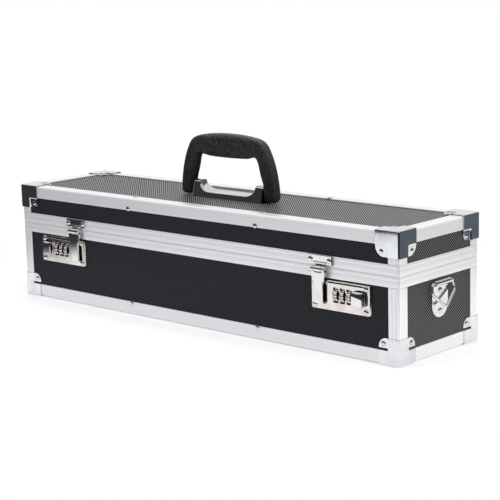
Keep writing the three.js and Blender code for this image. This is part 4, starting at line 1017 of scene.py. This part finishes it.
# %% Camera
yaw, pitch, roll = np.radians([42.366, 11.122, -1.521])
camera_place, focal_length, sensor_width = (1.1146, -1.1935, 0.3950), 107.28, 36
back = np.array([np.sin(yaw) * np.cos(pitch), -np.cos(yaw) * np.cos(pitch), np.sin(pitch)])
side = np.cross(-back, (0, 0, 1))
side /= np.linalg.norm(side)
up = np.cross(side, -back)
across, above = side * np.cos(roll) + up * np.sin(roll), up * np.cos(roll) - side * np.sin(roll)
lens = bpy.data.cameras.new("photo_camera")
lens.lens, lens.sensor_width = focal_length, sensor_width
camera = in_scene("photo_camera", lens)
pose = np.eye(4)
pose[:3] = np.column_stack([across, above, back, camera_place])
camera.matrix_world = Matrix(pose.tolist())
bpy.context.scene.camera = camera
bpy.context.scene.view_settings.view_transform = "Standard"
print("camera at", [round(v, 3) for v in camera.location])

# %% [markdown]
# The case stands on a round white table top. Bright metal shows that table, a white backdrop behind the
# case and white overhead, and between those the dark studio. The table fades out towards its edge and on
# the camera's side, so no line shows behind the case and upright edges that face the camera stay dark.

# %% Table
def kinds_of_ray(tree):
    """Two values: 1 for what the camera sees itself, and 1 for what a mirror or glass shows it."""
    ray = add(tree, "LightPath").node.outputs
    return ray["Is Camera Ray"], calc(tree, "MAXIMUM", ray["Is Glossy Ray"], ray["Is Transmission Ray"])


table_centre, table_radius, table_top, table_glow = (0.12, -0.14, 0), 0.67, -0.0002, 0.36
rings = [[reach, table_top] for reach in (0, 0.2, 0.4, table_radius)]
points, (quads,) = turned(rings, table_centre, (0, 0, 1), 96)
mesh = bpy.data.meshes.new("table")
mesh.from_pydata(points.tolist(), [], quads[:, ::-1].tolist())
in_scene("table", mesh)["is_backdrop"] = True
white_paint = {"Base Color": (0.74, 0.74, 0.74, 1), "Roughness": 0.9, "Specular IOR Level": 0.0}
table_paint, tree, surface, place = new_material("white_table", white_paint)
seen = calc(tree, "MAXIMUM", *kinds_of_ray(tree))
from_middle = add(tree, "VectorMath", {0: place, 1: table_centre}, "Value", operation="DISTANCE")
to_camera = add(tree, "VectorMath", {0: place, 1: (0.7, -0.7, 0)}, "Value", operation="DOT_PRODUCT")
fade = calc(tree, "MAXIMUM", ramp(tree, from_middle, 0.515, 0.64, "SMOOTHSTEP"),
            ramp(tree, to_camera, 0.38, 0.48, "SMOOTHSTEP"))
glow = add(tree, "Emission", {"Color": (1, 1, 1, 1), "Strength": calc(tree, "MULTIPLY", seen, table_glow)})
lit = add(tree, "AddShader", {0: surface.outputs[0], 1: glow})
faded = add(tree, "MixShader", {0: fade, 1: lit, 2: add(tree, "BsdfTransparent")})
tree.links.new(faded, tree.nodes["Material Output"].inputs["Surface"])
mesh.materials.append(table_paint)
print("table", 2 * table_radius, "m across")

# %% [markdown]
# What metal mirrors is drawn by direction: a white backdrop behind the case, white overhead, and dark
# elsewhere, darkest to the right. The camera itself sees plain white, and matt surfaces get an even grey.

# %% Surroundings
world = bpy.data.worlds.new("studio")
bpy.context.scene.world = world
world.use_nodes = True
tree = world.node_tree
direct, mirrored = kinds_of_ray(tree)
direction = add(tree, "TexCoord", output="Generated")
axes = add(tree, "SeparateXYZ", {0: direction}).node.outputs
behind = add(tree, "VectorMath", {0: direction, 1: (-0.67, 0.74, 0)}, "Value", operation="DOT_PRODUCT")
backdrop = calc(tree, "MULTIPLY", ramp(tree, behind, 0.3, 0.6, "SMOOTHSTEP"),
                ramp(tree, axes["Z"], -0.02, 0.06, "SMOOTHSTEP"))
white_part = calc(tree, "MAXIMUM", backdrop, ramp(tree, axes["Z"], 0.45, 0.68, "SMOOTHSTEP"))
right_part = blend(tree, ramp(tree, axes["Y"], -0.3, 0.3), "#101216", "#626a72")
dark_part = blend(tree, ramp(tree, axes["X"], -0.5, 0.5), "#3b3a3e", right_part)
studio = blend(tree, white_part, dark_part, (0.94, 0.94, 0.95, 1))
colour = blend(tree, mirrored, (0.5, 0.5, 0.5, 1), studio)
colour = blend(tree, direct, colour, (1.0, 1.0, 1.0, 1))
tree.links.new(colour, tree.nodes["Background"].inputs["Color"])
print("surroundings:", world.name)

# %% [markdown]
# Three soft boxes light the case. One of power P at a distance d gives a facing white surface the
# brightness P / (pi * pi * d * d), so each power is worked out from the brightness it should add. Mirrors
# don't show them.

# %% Soft boxes
def soft_box(name, place, size, level, tint=(1, 1, 1)):
    """An area lamp aimed at the middle of the case that adds the given level to a white surface facing it."""
    lamp = bpy.data.lights.new(name, "AREA")
    lamp.color, lamp.shape, lamp.size = tint, "SQUARE", size
    lamp.energy = level * np.pi ** 2 * float(np.dot(place, place))
    holder = in_scene(name, lamp)
    holder.location = place
    holder.rotation_euler = (-holder.location).to_track_quat("-Z", "Y").to_euler()
    holder.visible_glossy = False
    print(name, round(lamp.energy, 1), "W")


soft_box("box_above", (-0.2, 0.3, 1.9), 1.6, 0.42)
soft_box("box_front_left", (-0.9, -1.7, 1.0), 1.3, 0.27, (0.88, 0.9, 1.0))
soft_box("box_right", (1.9, -0.2, 0.9), 1.3, 0.5)

# %% Print the size
low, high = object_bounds()
print("visual box in mm:", [round(1000 * v, 1) for v in high - low])
